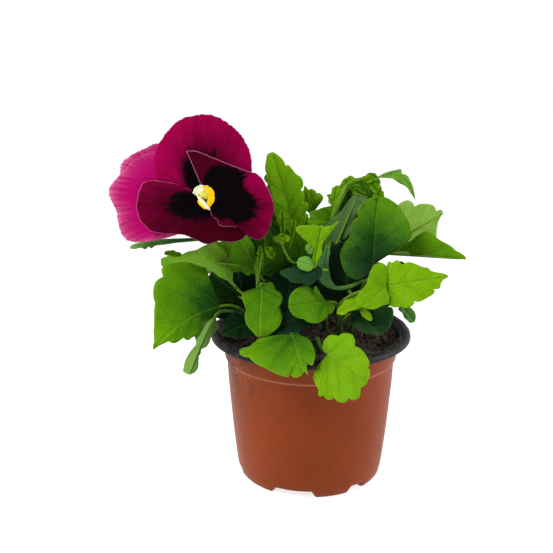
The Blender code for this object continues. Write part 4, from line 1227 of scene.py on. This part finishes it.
# %% Leaf places
Stem = namedtuple("Stem", "axis leaves radii", defaults=((1.6, 1.4, 0.9),))
LEAFY_STEMS = {
    "left_low": Stem([(-25, -5, 74), (-30, -9, 84), (-34, -12, 91)], [
        Leaf("shield", (-46, -22, 98), (-77, -36, 80), (-1, -9, 3), (13, 27), 0.76, 0.9, 24, (-20, 4), cup=20,
             bow=3, deep=0.6),
        Leaf("long", (-48, -26, 93), (-59, -47, 69), (3, 8, 5), (11, 11), 0.62, 0.5, -20, (40, 40)),
    ]),
    "left": Stem([(-19, -9, 75), (-24, -11, 92), (-27, -11, 108), (-24, -8, 128)], [
        Leaf("spoon", (-37, -14, 105), (-73, -31, 124), (-1, -8, 6), (6, 17), 1.0, 0.3, 20, (-40, 0), bow=5,
             grey=0.3, deep=0),
        Leaf("oval", (-29, -14, 118), (-36, -20, 136), (-3, -9, 3), (13, 10), 0.6, 0.6, 10, (5, -60)),
        Leaf("oval", (-38, -3, 98), (-53, 6, 107), (2, -9, 4), (9, 9), 0.15, 0.4, 10, (5, 5)),
        Leaf("strap", (-50, -12, 131), (-91.5, -14, 126), (0, -4, 8), (3, 3), 0.85, 0.8, 6, (10, 10),
             grey=0.9, deep=1.0),
        Leaf("small", (-63, -20, 122), (-73, -20, 125), (0, -6, 8), (2.5, 2.5), 0.85, 0.7, 10, (10, 10)),
        Leaf("plain", (-41, 2, 84), (-44, 5, 102), (0, -9, 3), (12, 12), 0.03, 0.2, 10, (5, 5)),
        Leaf("plain", (-30, -11, 120), (-31, -9, 138), (0, -9, 3), (7, 7), 0.4, None, 10, (5, 5)),
    ]),
    "front": Stem([(-12, -20, 75), (-15, -18, 88), (-17, -16, 98)], [
        Leaf("waisted", (-25, -21, 109), (-25, -38, 87), (1, -8, 5), (10, 10), 0.6, 1.0, 30, (0, -10),
             cup=10),
        Leaf("oval", (-28, -20, 89), (-43, -33, 87), (0, -5, 8), (9, 9), 0.04, 0.2, 20, (5, 5)),
        Leaf("lobed", (2, -20, 97), (-17, -33, 90), (0, -7, 6), (11, 14), 0.04, 0.6, 20, grey=0.2),
        Leaf("strap", (-27, -18, 108), (-25.5, -16, 128), (0, -9, 2), (1.5, 1.5), 0.75, None, 14, (30, 30)),
    ]),
    "rim": Stem([(4, -27, 75), (4, -29, 80), (3, -31, 84)], [
        Leaf("wedge", (-9, -41, 90), (-2, -64, 76), (-1, -7, 6), (11, 25), 0.72, (-8, -32, 82), 25, deep=0.4),
        Leaf("round", (8, -50, 84), (27, -64, 76), (0, -8, 5), (16, 16), 0.9, 1.0, 16, cup=10, deep=0),
    ]),
    "right_front": Stem([(15, -16, 75), (15, -17, 88), (14, -17, 97)], [
        Leaf("round", (9, -22, 101), (-10, -33, 102), (0, -9, 4), (10, 11), 0.6, 1.0, 10, cup=20, deep=0),
        Leaf("lobed", (22, -20, 94), (36, -29, 86), (1, -5, 8), (12, 12), 0.14, 0.4, 20, (10, 10), grey=0.15),
        Leaf("broad", (37, -24, 110), (67, -30, 117), (0, -9, 3), (14, 11), 0.95, 1.0, 14, cup=10, deep=0),
        Leaf("lobed", (37, -26, 110), (25, -33, 102), (1, -9, 4), (12, 12), 0.85, 0.9, deep=0),
        Leaf("small", (26, -25, 103), (13, -28, 97), (0, -8, 6), (5, 5), 1.0, 0.9, 20, (35, -25), deep=0),
        Leaf("small", (24, -27, 100), (30, -29, 94), (0, -9, 4), (2, 2), 1.0, 0.9, 10, (10, 10), deep=0),
    ]),
    "centre": Stem([(-6, 2, 75), (-7, 0, 100), (-8, -1, 116)], [
        Leaf("tongue", (-8, -3, 131), (-20, 3, 172), (1, -9, 2), (8, 13), 0.8, 1.0, 10, (14, 14)),
        Leaf("long", (-15, 4, 130), (-22, 9, 155), (-7, -6, 3), (6, 6), 0.5, 0.9, 0, (40, 40)),
        Leaf("small", (0, 9, 139), (-1, 12, 151), (2, -9, 2), (7, 7), 0.75, 0.8),
        Leaf("paddle", (1, -22, 117), (5, -24, 140), (0, -9, 3), (13, 14), 0.85, 0.6, 10, (10, 10), deep=0),
        Leaf("lobed", (1, -24, 120), (-8, -26, 123), (0, -9, 4), (4.5, 5), 0.9, None, 10, grey=0.6, deep=0),
        Leaf("oval", (5, -22, 118), (-15, -25, 117), (0, -6, 8), (9, 3), 0.1, 0.5, 10, grey=0.4),
        Leaf("plain", (-13, -6, 92), (-10, -4, 112), (0, -9, 3), (13, 14), 0.02, 0.3, 10, (5, 5), grey=0.3),
        Leaf("plain", (-26, 2, 93), (-30, 4, 114), (0, -9, 3), (12, 13), 0.05, 0.3, 10, (5, 5), grey=0.1),
        Leaf("plain", (-26, 2, 108), (-24, 3, 131), (0, -9, 3), (10, 12), 0.5, 0.5, 10, (5, 5)),
        Leaf("plain", (-5, -6, 115), (-6, -3, 133), (0, -9, 3), (8, 8), 0.6, 0.7, 10, (5, 5), deep=0.3),
        Leaf("strap", (-14, -10, 123), (-15, -8, 144), (0, -9, 2), (2, 2), 0.75, None, 10, (30, 30)),
        Leaf("strap", (-11, -10, 125), (-9, -8, 140), (0, -9, 2), (1.9, 1.9), 0.7, None, 10, (30, 30)),
        Leaf("small", (-19, -12, 130), (-11, -13, 131), (0, -7, 6), (2.5, 2.5), 0.95, None, 60, (20, -30)),
        Leaf("small", (-19, -14, 121), (-23, -14, 127), (0, -8, 4), (2.5, 2.5), 0.75, None, 60, (30, 20)),
        Leaf("small", (0, -24, 126), (-2, -24, 131), (0, -9, 3), (1.8, 1.8), 0.85, None, 10, grey=0.5),
        Leaf("small", (-7, -22, 121), (-4, -22, 121.5), (0, -9, 3), (1, 1), 0.8, (-19, -16, 132)),
    ]),
    "shoot": Stem([(8, 6, 75), (7, 5, 105), (9, 1, 130), (13, -2, 146), (18, 1, 156)], [
        Leaf("spoon", (11, 1, 145), (13, 2, 156), (-2, -9, 2), (5, 5), 0.85, 0.8, deep=0),
        Leaf("oval", (13, -1, 137), (-2, -4, 139), (0, -9, 4), (6, 6), 0.65, 0.7, 10),
        Leaf("plain", (17, 3, 148), (20, 4, 160), (0, -9, 2), (4.5, 5), 0.85, 0.95, 10, (10, 10), deep=0.2),
        Leaf("plain", (28, 4, 147), (30, 5, 161), (0, -9, 2), (6, 6.5), 0.8, 0.95, 10, (10, 10), deep=0.2),
        Leaf("long", (33, 7, 159), (53, 6, 148), (1, -7, 5), (6, 7), 0.8, 1.0, bow=-6.5, grey=0.4, deep=0),
        Leaf("small", (19, 0, 156), (25, -1, 151), (0, -8, 4), (3, 3), 0.6, 1.0, 100, (40, 40)),
        Leaf("small", (24, 0, 158), (28, -2, 152), (0, -8, 4), (3, 3), 0.5, 1.0, 100, (30, 40)),
        Leaf("small", (29, 0, 158), (33, -2, 153), (1, -8, 4), (3, 3), 0.65, 1.0, 90, (40, 20)),
        Leaf("small", (22, -1, 152), (27, -2, 148), (-1, -8, 4), (3, 3), 0.55, 1.0, 80, (30, 30)),
        Leaf("small", (31, 0, 154), (35, -1, 149), (0, -8, 4), (3, 3), 0.7, 1.0, 80, (30, 30)),
        Leaf("small", (33, 2, 160), (27, 0, 158), (0, -7, 6), (3, 3), 0.75, 1.0, 60, (30, 30)),
        Leaf("plain", (20, 8, 118), (22, 8, 153), (0, -9, 3), (9, 8), 0.35, 0.5, 10, (5, 5)),
    ], (1.6, 1.7, 1.5)),
    "right": Stem([(20, -2, 75), (24, -4, 92), (27, -6, 106)], [
        Leaf("round", (31, -12, 117), (33, -3, 151), (0, -9, 3), (14, 20), 0.62, 1.0, -20, (12, 12), cup=20,
             grey=0.05, deep=0.6),
        Leaf("oval", (12, -8, 125), (23, -4, 152), (1, 9, -2), (8, 8), 0.3, 0.5, grey=0.8),
        Leaf("long", (27, -14, 110), (8, -16, 128), (0, -9, 3), (4, 4), 0.55, 0.7, bow=-13.5, grey=1.0,
             deep=0),
        Leaf("round", (43, 4, 125), (71, 12, 141), (0, 9, 3), (14, 14), 1.0, 0.8, 10, deep=0),
        Leaf("oval", (41, -1, 121), (78, -8, 120), (0, -7, 6), (12, 10), 0.68, 0.9, 0, (0, 75), deep=0.1),
        Leaf("plain", (19, -12, 105), (16, -12, 126), (0, -9, 3), (10, 12), 0.0, 0.6, deep=0),
        Leaf("plain", (10, 2, 94), (18, 4, 115), (0, -9, 3), (14, 14), 0.04, 0.4, 10, (5, 5), grey=0.1),
    ]),
    "back_right": Stem([(18, 20, 75), (20, 24, 94), (21, 26, 108)], [
        Leaf("plain", (14, 20, 104), (17, 24, 134), (0, -9, 4), (14, 15), 0.35, 1.0, 20, (10, 10)),
        Leaf("plain", (34, 19, 86), (37, 20, 110), (1, -9, 4), (13, 13), 0.45, 0.7, 20, (10, 10)),
        Leaf("plain", (40, 30, 96), (66, 38, 94), (2, 1, 9), (14, 14), 0.6, 0.5, 40, (10, 10)),
        Leaf("plain", (20, 46, 96), (24, 70, 84), (0, 4, 9), (15, 15), 0.55, 0.4, 30, (10, 10)),
        Leaf("oval", (48, 8, 90), (56, 5, 81), (0, -8, 6), (5, 5), 0.5, 0.3, 10, (10, 10), grey=0.6, deep=0),
        Leaf("plain", (46, 14, 98), (48, 16, 112), (0, -9, 3), (8, 8), 0.1, 0.7, 10, (10, 10)),
        Leaf("plain", (8, 19, 84), (5, 18, 106), (0, -9, 3), (15, 17), 0.3, 0.3, 20, (10, 10)),
    ]),
    "back_left": Stem([(-16, 20, 75), (-20, 24, 96), (-22, 28, 110)], [
        Leaf("plain", (-18, 18, 104), (-24, 20, 130), (0, -9, 4), (14, 15), 0.3, 0.9, 20, (10, 10)),
        Leaf("plain", (-6, 26, 104), (-2, 30, 132), (0, -9, 4), (13, 13), 0.4, 0.8, 20, (10, 10)),
        Leaf("plain", (-40, 28, 100), (-64, 36, 98), (-2, 1, 9), (14, 14), 0.6, 0.6, 40, (10, 10)),
        Leaf("plain", (-14, 46, 98), (-16, 70, 86), (0, 4, 9), (15, 15), 0.55, 0.4, 30, (10, 10)),
        Leaf("plain", (-26, 42, 122), (-34, 60, 130), (-2, -2, 9), (15, 15), 0.6, 1.0, 30, (10, 10)),
        Leaf("plain", (-22, 17, 84), (-32, 15, 106), (0, -9, 3), (13, 14), 0.3, 0.3, 20, (10, 10)),
    ]),
}
print(sum(len(stem.leaves) for stem in LEAFY_STEMS.values()), "leaves on", len(LEAFY_STEMS), "stems")

# %% Leafy stems
ROOT_DEPTH = 6.0


def make_leafy_stem(name, stem):
    piece = Piece("leaves_" + name, [blade_skin, stem_skin])
    axis = np.array(stem.axis, float)
    path = smooth_path(np.vstack([axis[0] - (0, 0, ROOT_DEPTH), axis]), 10)
    piece.add_tube(path * MM, np.array(stem.radii) * MM, 12, 1)
    visible = smooth_path(axis, 6)
    for number, leaf in enumerate(stem.leaves):
        if leaf.start is not None:
            add_petiole(piece, leaf, visible)
        add_blade(piece, leaf, f"{name}_{number}")
    piece.make("leaf_green", "leafy_stem_" + name)


for name, stem in LEAFY_STEMS.items():
    make_leafy_stem(name, stem)


# %% [markdown]
# ## The bloom
# A pansy has five petals: a lip, two side petals and two upper petals. In this bloom the lip is turned to the
# right and lies in front, the side petals lie behind it, and the upper petals at the back. All of it is laid
# out in its own frame, with x to the right, y up and z out of its face, from the middle of its eye. Each
# margin is a list of places, and each place also says how pale the petal's edge is there, how far the dark
# blotch reaches towards it, and how bright the magenta is. Cloth could be simulated into petals, but it would
# not end at a chosen outline, and waves that are added to a shallow saucer look much the same.

# %% The bloom's frame
BLOOM_PLACE = (-50.5, -30, 155)
BLOOM_FACE = (0.08, -0.975, 0.2)


class Bloom:
    """x right, y up and z out of the bloom's face."""

    def __init__(self):
        self.middle = np.array(BLOOM_PLACE, float)
        self.out = unit(BLOOM_FACE)
        self.right = unit(np.cross((0, 0, 1), self.out))
        self.up = np.cross(self.out, self.right)

    def place(self, x, y, z):
        x, y, z = (np.asarray(value, float)[..., None] for value in (x, y, z))
        return self.middle + x * self.right + y * self.up + z * self.out


bloom = Bloom()
print("the bloom looks along", np.round(bloom.out, 2))

# %% Petal margins
Petal = namedtuple("Petal", "layer pink margin")
PETALS = {
    "lip": Petal(0, False, [
        (2.5, -8.5, 0.4, 10, 0.3), (4, -10, 0.4, 10, 0.3), (5.5, -11, 0.5, 11, 0.3), (6, -13, 0.6, 11, 0.3),
        (8.5, -14, 0.6, 13, 0.3), (11.5, -14, 0.6, 14, 0.3), (14, -14.5, 0.6, 15, 0.3),
        (15.5, -13.5, 0.6, 17, 0.3), (17.5, -16, 0.6, 18, 0.25), (20.5, -19, 0.5, 20, 0.3),
        (25.5, -20.5, 0.3, 22, 0.4), (29.5, -16.5, 0.1, 24, 0.5),
        (31, -11.5, 0.1, 26, 0.55), (32.4, -4, 0.15, 26, 0.55), (28.7, 6, 0.8, 20, 0.8),
        (24.5, 11, 0.9, 21, 0.8), (20, 12.3, 0.8, 22.5, 0.4), (5.5, 18, 0.8, 16.5, 0.25),
        (-4.5, 22, 0.8, 7, 0.2), (-9, 22, 0.6, 4, 0.2),
    ]),
    "side_lower": Petal(1, False, [
        (-6.7, 3.4, 0.05, 6, 0.4), (-13, 6.2, 0.2, 8, 0.5), (-22.5, 8, 0.5, 11, 0.5),
        (-27.5, 8, 0.6, 14, 0.5), (-31, 6, 0.6, 16, 0.5), (-33.5, -3, 0.5, 19, 0.4),
        (-32.3, -10, 0.5, 20, 0.4), (-29, -14, 0.5, 18, 0.35), (-24.4, -16.6, 0.5, 16, 0.3),
        (-12, -17.7, 0.4, 13, 0.15), (-6.7, -19.6, 0.4, 12, 0.05), (0, -22.4, 0.5, 11, 0),
        (6, -21, 0.5, 10.5, 0), (12.5, -21.6, 0.5, 10, 0), (18, -19.5, 0.3, 9, 0), (20, -15, 0.2, 9, 0),
    ]),
    "side_top": Petal(2, False, [
        (22.3, 10, 0, 15, 0.7), (21.6, 20, 0, 16, 0.75), (19.6, 25.6, 0, 18, 0.75), (15, 32.3, 0, 19, 0.75),
        (5.6, 38.8, 0.05, 21, 0.75), (-1.2, 40, 0.05, 22.5, 0.75), (-10.5, 38.3, 0.05, 23.5, 0.8),
        (-16.5, 34, 0.05, 23, 0.9), (-21.6, 27.3, 0.05, 20, 0.95), (-24.6, 21, 0.05, 16, 1.0),
        (-25, 14.6, 0.05, 13, 0.9), (-23, 5, 0, 11, 0.8),
    ]),
    "upper_front": Petal(3, True, [
        (-20, 21, 0.2, 0, 0.7), (-24.4, 22.5, 0.3, 0, 0.7), (-30, 21.3, 0.3, 0, 0.7),
        (-35.5, 18.2, 0.4, 0, 0.7), (-43.4, 10.3, 0.7, 0, 0.7), (-47.9, 3.6, 0.9, 0, 0.7),
        (-44.6, -5.6, 0.9, 0, 0.7), (-43.6, -11, 0.9, 0, 0.7), (-42.6, -16, 0.9, 0, 0.7),
        (-39, -20.8, 1.0, 0, 0.7), (-31, -21.2, 0.8, 0, 0.7), (-19, -19.2, 0.5, 0, 0.7),
        (-9, -16, 0.3, 0, 0.7),
    ]),
    "upper_back": Petal(4, True, [
        (-10, 26, 0.2, 0, 0.7), (-24, 26.4, 0.3, 0, 0.7), (-28.7, 24.7, 0.4, 0, 0.7),
        (-37.4, 20.6, 0.7, 0, 0.7), (-42.2, 15.3, 0.8, 0, 0.7), (-40, 4, 0.8, 0, 0.7), (-30, -6, 0.5, 0, 0.7),
    ]),
}
print(len(PETALS), "petals")

# %% [markdown]
# ### The petals' finish
# The lip and the side petals are velvet: magenta, with a black blotch that breaks up into streaks at its
# end, and a thin pale edge. The two upper petals are pink and fade to white. All streaks run out from the
# eye, so their noise is looked up by the angle round the eye and the distance from it, not by the place in
# space. The colour and the light that passes through are mixed by the same function, so that they agree.

# %% Petal finish
def pink_layers(mix, fine, fade):
    """Streaked pink that fades to white at the margin, mixed as colours or as glows."""
    pink = mix(fine * 1.6 - 0.3, (0.29, 0.000, 0.078), (0.48, 0.000, 0.140))
    return mix(0.6 * fade, pink, (0.78, 0.34, 0.55))


def velvet_layers(mix, fine, bright, dark, lace):
    """Streaked magenta, the black blotch over it and a pale edge, mixed as colours or as glows."""
    ground = mix(bright, (0.036, 0.000, 0.005), (0.34, 0.000, 0.066))
    streaks = mix(bright, (0.07, 0.0, 0.008), (0.20, 0.0, 0.032))
    velvet = mix(fine * 1.8 - 0.5, ground, streaks)
    blotched = mix(dark, velvet, (0.002, 0.001, 0.002))
    return mix(0.75 * lace, blotched, (0.74, 0.28, 0.48))


def petal_finish(name, pink):
    petal = Finish(name)
    radius, turn, layer = petal.value("radius"), petal.value("turn"), petal.value("layer")
    margin, pale, blotch, blush = (petal.value(key) for key in ("margin", "pale", "blotch", "blush"))
    rays = petal.node("CombineXYZ", None, {0: turn * 9, 1: radius * 0.05, 2: layer * 3})
    broad = petal.cloud(rays, 1, 3)
    hairs = petal.node("CombineXYZ", None, {0: turn * 52, 1: radius * 0.06, 2: layer * 5})
    fine = petal.cloud(hairs, 1, 3, 0.7)
    normal = petal.bump(0.5 * fine + 0.5 * broad, 0.4, 0.0008)
    if pink:
        fade = pale * (2.718 ** (margin * -0.42)) * (3.2 * fine - 1.0)
        colour, glow = (pink_layers(mix, fine, fade) for mix in (petal.mix, petal.glow))
    else:
        bright = petal.step(blush * (margin * -0.035 + 1.05) + 0.5 * (broad - 0.5), 0.1, 0.95)
        reach = blotch * (0.72 + 0.5 * broad) - radius
        dark = petal.step(reach + (layer * 7 + 12) * (fine - 0.5), -0.9, 0.9)
        lace = pale * (1 - petal.step(margin, 0.0, 0.12 + 0.6 * fine))
        colour, glow = (velvet_layers(mix, fine, bright, dark, lace) for mix in (petal.mix, petal.glow))
    return petal.skin({
        "Base Color": colour,
        "Roughness": 0.62 + 0.15 * fine,
        "Normal": normal,
        "Specular IOR Level": 0.02,
    }, glow, 0.15)


velvet_skin = petal_finish("petal_velvet", False)
pink_skin = petal_finish("petal_pink", True)

# %% Petal relief
THROAT_DEPTH = 1.5
THROAT_RADIUS = 6.0
SAUCER_DROP = 5.0
SAUCER_RADIUS = 38.0
RUFFLE_HEIGHT = 0.55
RUFFLE_CYCLES = (3, 5, 8, 13)


def saucer(radius):
    """How far the open bloom stands forward at a distance from its middle."""
    throat = THROAT_DEPTH * (1 - np.exp(-radius / THROAT_RADIUS))
    return throat - SAUCER_DROP * (radius / SAUCER_RADIUS) ** 2


def even_steps(points, count):
    """count + 1 points evenly spaced along a line of points, by the length of its first two columns."""
    lengths = np.concatenate([[0], np.cumsum(np.linalg.norm(np.diff(points[:, :2], axis=0), axis=1))])
    wanted = np.linspace(0, lengths[-1], count + 1)
    return np.column_stack([np.interp(wanted, lengths, column) for column in points.T])


def ruffle(chance, share, out):
    """Small waves that grow towards the margin."""
    waves = 0 * share
    for cycles in RUFFLE_CYCLES:
        waves = waves + math.sqrt(1 / cycles) * np.sin(2 * math.pi * cycles * share + chance.uniform(0, 6.3))
    return RUFFLE_HEIGHT * waves * out**3


def margin_distance(flat, margin):
    """How far each corner is from its own end of the margin, or from the petal's first or last column."""
    away = np.linalg.norm(margin[:, None] - flat, axis=2)
    for side in (flat[0], flat[-1]):
        away = np.minimum(away, np.linalg.norm(flat[:, :, None] - side, axis=3).min(axis=2))
    return away


print("the saucer's height 20 mm out is", round(saucer(20), 2), "mm")

# %% Petals
PETAL_HOLE = 2.8
PETAL_LAYER = 1.3
PETAL_SPREAD = 60.0
PETAL_THICK = 0.35
PETAL_COLUMNS = 150
PETAL_ROWS = 30
MARGIN_SHAKE = 0.007
MARGIN_RISE = 0.3


def make_petal(name, petal):
    line = even_steps(smooth_path(petal.margin, 10), PETAL_COLUMNS)
    chance = random.Random(name)
    shake = [chance.uniform(-MARGIN_SHAKE, MARGIN_SHAKE) for _ in line]
    margin = line[:, :2] * (1 + np.array(shake)[:, None])
    turns = np.unwrap(np.arctan2(margin[:, 1], margin[:, 0]))
    turns = np.linspace(turns[0], turns[-1], PETAL_COLUMNS + 1)
    claw = PETAL_HOLE * np.column_stack([np.cos(turns), np.sin(turns)])
    rows = np.linspace(0, 1, PETAL_ROWS + 1)
    flat = claw[:, None] + (margin - claw)[:, None] * rows[None, :, None]
    radius = np.linalg.norm(flat, axis=2)
    away = margin_distance(flat, margin)
    pale, blotch, blush = (column[:, None] + 0 * radius for column in line.T[2:])
    share = np.linspace(0, 1, PETAL_COLUMNS + 1)[:, None] + 0 * radius
    out = rows[None] + 0 * radius
    height = saucer(radius) - petal.layer * PETAL_LAYER * (1 + radius / PETAL_SPREAD)
    height = height + ruffle(chance, share, out)
    if not petal.pink:
        height = height + MARGIN_RISE * pale * np.exp(-away)
    grid = bloom.place(flat[:, :, 0], flat[:, :, 1], height)
    normals = grid_normals(grid)
    if normals.reshape(-1, 3).mean(0) @ bloom.out < 0:
        normals = -normals
    both, faces = two_skins(grid, normals * PETAL_THICK / 2)
    turn = np.arctan2(flat[:, :, 1], flat[:, :, 0])
    fields = {"radius": radius, "turn": turn, "margin": away, "pale": pale, "blotch": blotch, "blush": blush}
    piece = Piece("petal_of_" + name, [pink_skin if petal.pink else velvet_skin])
    fields = {key: mirrored(field) for key, field in fields.items()}
    piece.add(both, faces[:, ::-1], layer=petal.layer, **fields)
    piece.make("petal_pink" if petal.pink else "petal_dark", "petal_" + name)


for name, petal in PETALS.items():
    make_petal(name, petal)

# %% [markdown]
# ## The eye and the stalk
# The eye is the bloom's throat: an orange-yellow lip, a green-yellow pistil head with a small brown mouth, a
# pale tongue below it and a crescent of cream hairs beside it. Each is a smooth ball that is stretched,
# turned and made a little uneven. Metaballs would melt them into one lump, while separate balls keep their
# own finishes. Behind the bloom five sepals sit on a swollen joint, and the stalk arches from there down
# between the leaves into the soil.

# %% Eye
def plain_finish(name, low, high, rough, scale):
    finish = Finish(name)
    patches = finish.cloud(finish.place(), scale, 3)
    return finish.skin({
        "Base Color": finish.mix(patches, low, high),
        "Roughness": rough + 0.1 * patches,
        "Normal": finish.bump(patches, 0.4, 0.0004),
        "Specular IOR Level": 0.1,
    })


EYE_FINISHES = [
    plain_finish("eye_orange", (0.80, 0.34, 0.0), (0.90, 0.58, 0.0), 0.5, 900),
    plain_finish("eye_green", (0.42, 0.45, 0.04), (0.62, 0.60, 0.10), 0.5, 1200),
    plain_finish("eye_cream", (0.58, 0.60, 0.28), (0.88, 0.88, 0.62), 0.7, 2200),
    plain_finish("eye_mouth", (0.05, 0.02, 0.0), (0.12, 0.05, 0.01), 0.6, 900),
]
# Each lump of the eye: its finish, its middle and its half sizes in the bloom's frame, and how far it is
# turned to the left.
EYE_LUMPS = [
    (2, (-2.9, 3.1, 1.0), (3.0, 2.1, 1.2), 25), (0, (0.5, 4.3, 1.1), (1.6, 1.3, 1.0), -40),
    (0, (1.7, 2.2, 1.3), (2.2, 2.9, 1.3), 25), (0, (2.4, -0.3, 1.3), (1.8, 3.1, 1.4), 0),
    (0, (1.7, -2.3, 1.2), (1.4, 2.4, 1.2), -15), (1, (-0.8, 0.9, 1.8), (2.1, 1.7, 1.1), -40),
    (0, (-1.9, -3.6, 0.8), (0.9, 3.0, 0.8), 45), (2, (-1.2, -2.5, 1.3), (1.1, 4.6, 1.0), 40),
    (3, (-1.0, -0.8, 2.7), (0.35, 1.2, 0.35), 40),
]
CRESCENT = [(-5.0, 2.2, 1.5), (-3.8, 4.0, 1.7), (-1.6, 5.0, 1.5)]
HAIRS_A_PLACE = 6
HAIR_SIZES = (0.45, 0.45, 0.5)
LUMP_WAYS = ball_ways(20, 12)


def add_lump(piece, kind, middle, sizes, uneven, tilt=0):
    """A smooth ball in the bloom's frame that is stretched, turned to the left and made uneven by noise."""
    right, up = math.cos(math.radians(tilt)), math.sin(math.radians(tilt))
    turned = np.array([(right, -up, 0), (up, right, 0), (0, 0, 1)])
    push = np.array([[1 + uneven * noise.noise(way * 3 + middle) for way in column] for column in LUMP_WAYS])
    grid = middle + (LUMP_WAYS * sizes * push[..., None]) @ turned.T
    piece.add(bloom.place(*grid.transpose(2, 0, 1)) * MM, grid_faces(*push.shape, wrap=True), kind)


def make_eye():
    eye = Piece("bloom_eye", EYE_FINISHES)
    for kind, middle, sizes, tilt in EYE_LUMPS:
        add_lump(eye, kind, middle, sizes, 0.12, tilt)
    chance = random.Random(5)
    for place in smooth_path(CRESCENT, 8):
        for _ in range(HAIRS_A_PLACE):
            shift = [chance.uniform(-0.8, 0.8), chance.uniform(-0.8, 0.8), chance.uniform(-0.6, 0.2)]
            add_lump(eye, 2, place + shift, HAIR_SIZES, 0.3)
    eye.make("throat_yellow", "pistil")


make_eye()

# %% Flower stalk
STALK_RADIUS = 1.3
STALK_PATH = [(-12, 9, 69), (-12, 9, 75), (-13, 9, 84), (-19, 8, 105), (-33, 2, 135), (-44, -7, 154)]
STALK_DEPTHS = (-17, -11)
RECEPTACLE_DEPTH = -10.7
RECEPTACLE_SIZES = (3.2, 3.2, 3.4)
SEPAL_LENGTH = 15.0
SEPAL_HALF = 2.6
SEPAL_COUNT = 5
SEPAL_HEEL = 1.5
SEPAL_DROOP = 1.5


def make_stalk():
    stalk = Piece("bloom_stalk", [blade_skin, stem_skin])
    ends = [bloom.place(0, 0, depth) for depth in STALK_DEPTHS]
    stalk.add_tube(smooth_path(STALK_PATH + ends, 10) * MM, [STALK_RADIUS * MM] * 2, 12, 1)
    add_lump(stalk, 1, (0, 0, RECEPTACLE_DEPTH), RECEPTACLE_SIZES, 0.1)
    for number in range(SEPAL_COUNT):
        turn = 2 * math.pi * (number + 0.25) / SEPAL_COUNT
        x, y = math.cos(turn), math.sin(turn)
        heel = bloom.place(x * SEPAL_HEEL, y * SEPAL_HEEL, RECEPTACLE_DEPTH)
        tip = bloom.place(x * SEPAL_LENGTH, y * SEPAL_LENGTH, RECEPTACLE_DEPTH - SEPAL_DROOP)
        leaf = Leaf("sepal", heel, tip, tuple(bloom.out), (SEPAL_HALF, SEPAL_HALF), 0.6, None, 15, (10, 10))
        add_blade(stalk, leaf, f"sepal_{number}")
    stalk.make("stalk_green", "flower_stalk")


make_stalk()

# %% [markdown]
# ## Sizes and the end
# The dressed plant stands only a little proud of its solids, and both boxes are printed below.

# %% Sizes
dressed_box = [list(corner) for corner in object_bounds()]
for name, box in (("solids", solid_box), ("dressed", dressed_box)):
    print(name, [[round(x / MM, 1) for x in corner] for corner in box])
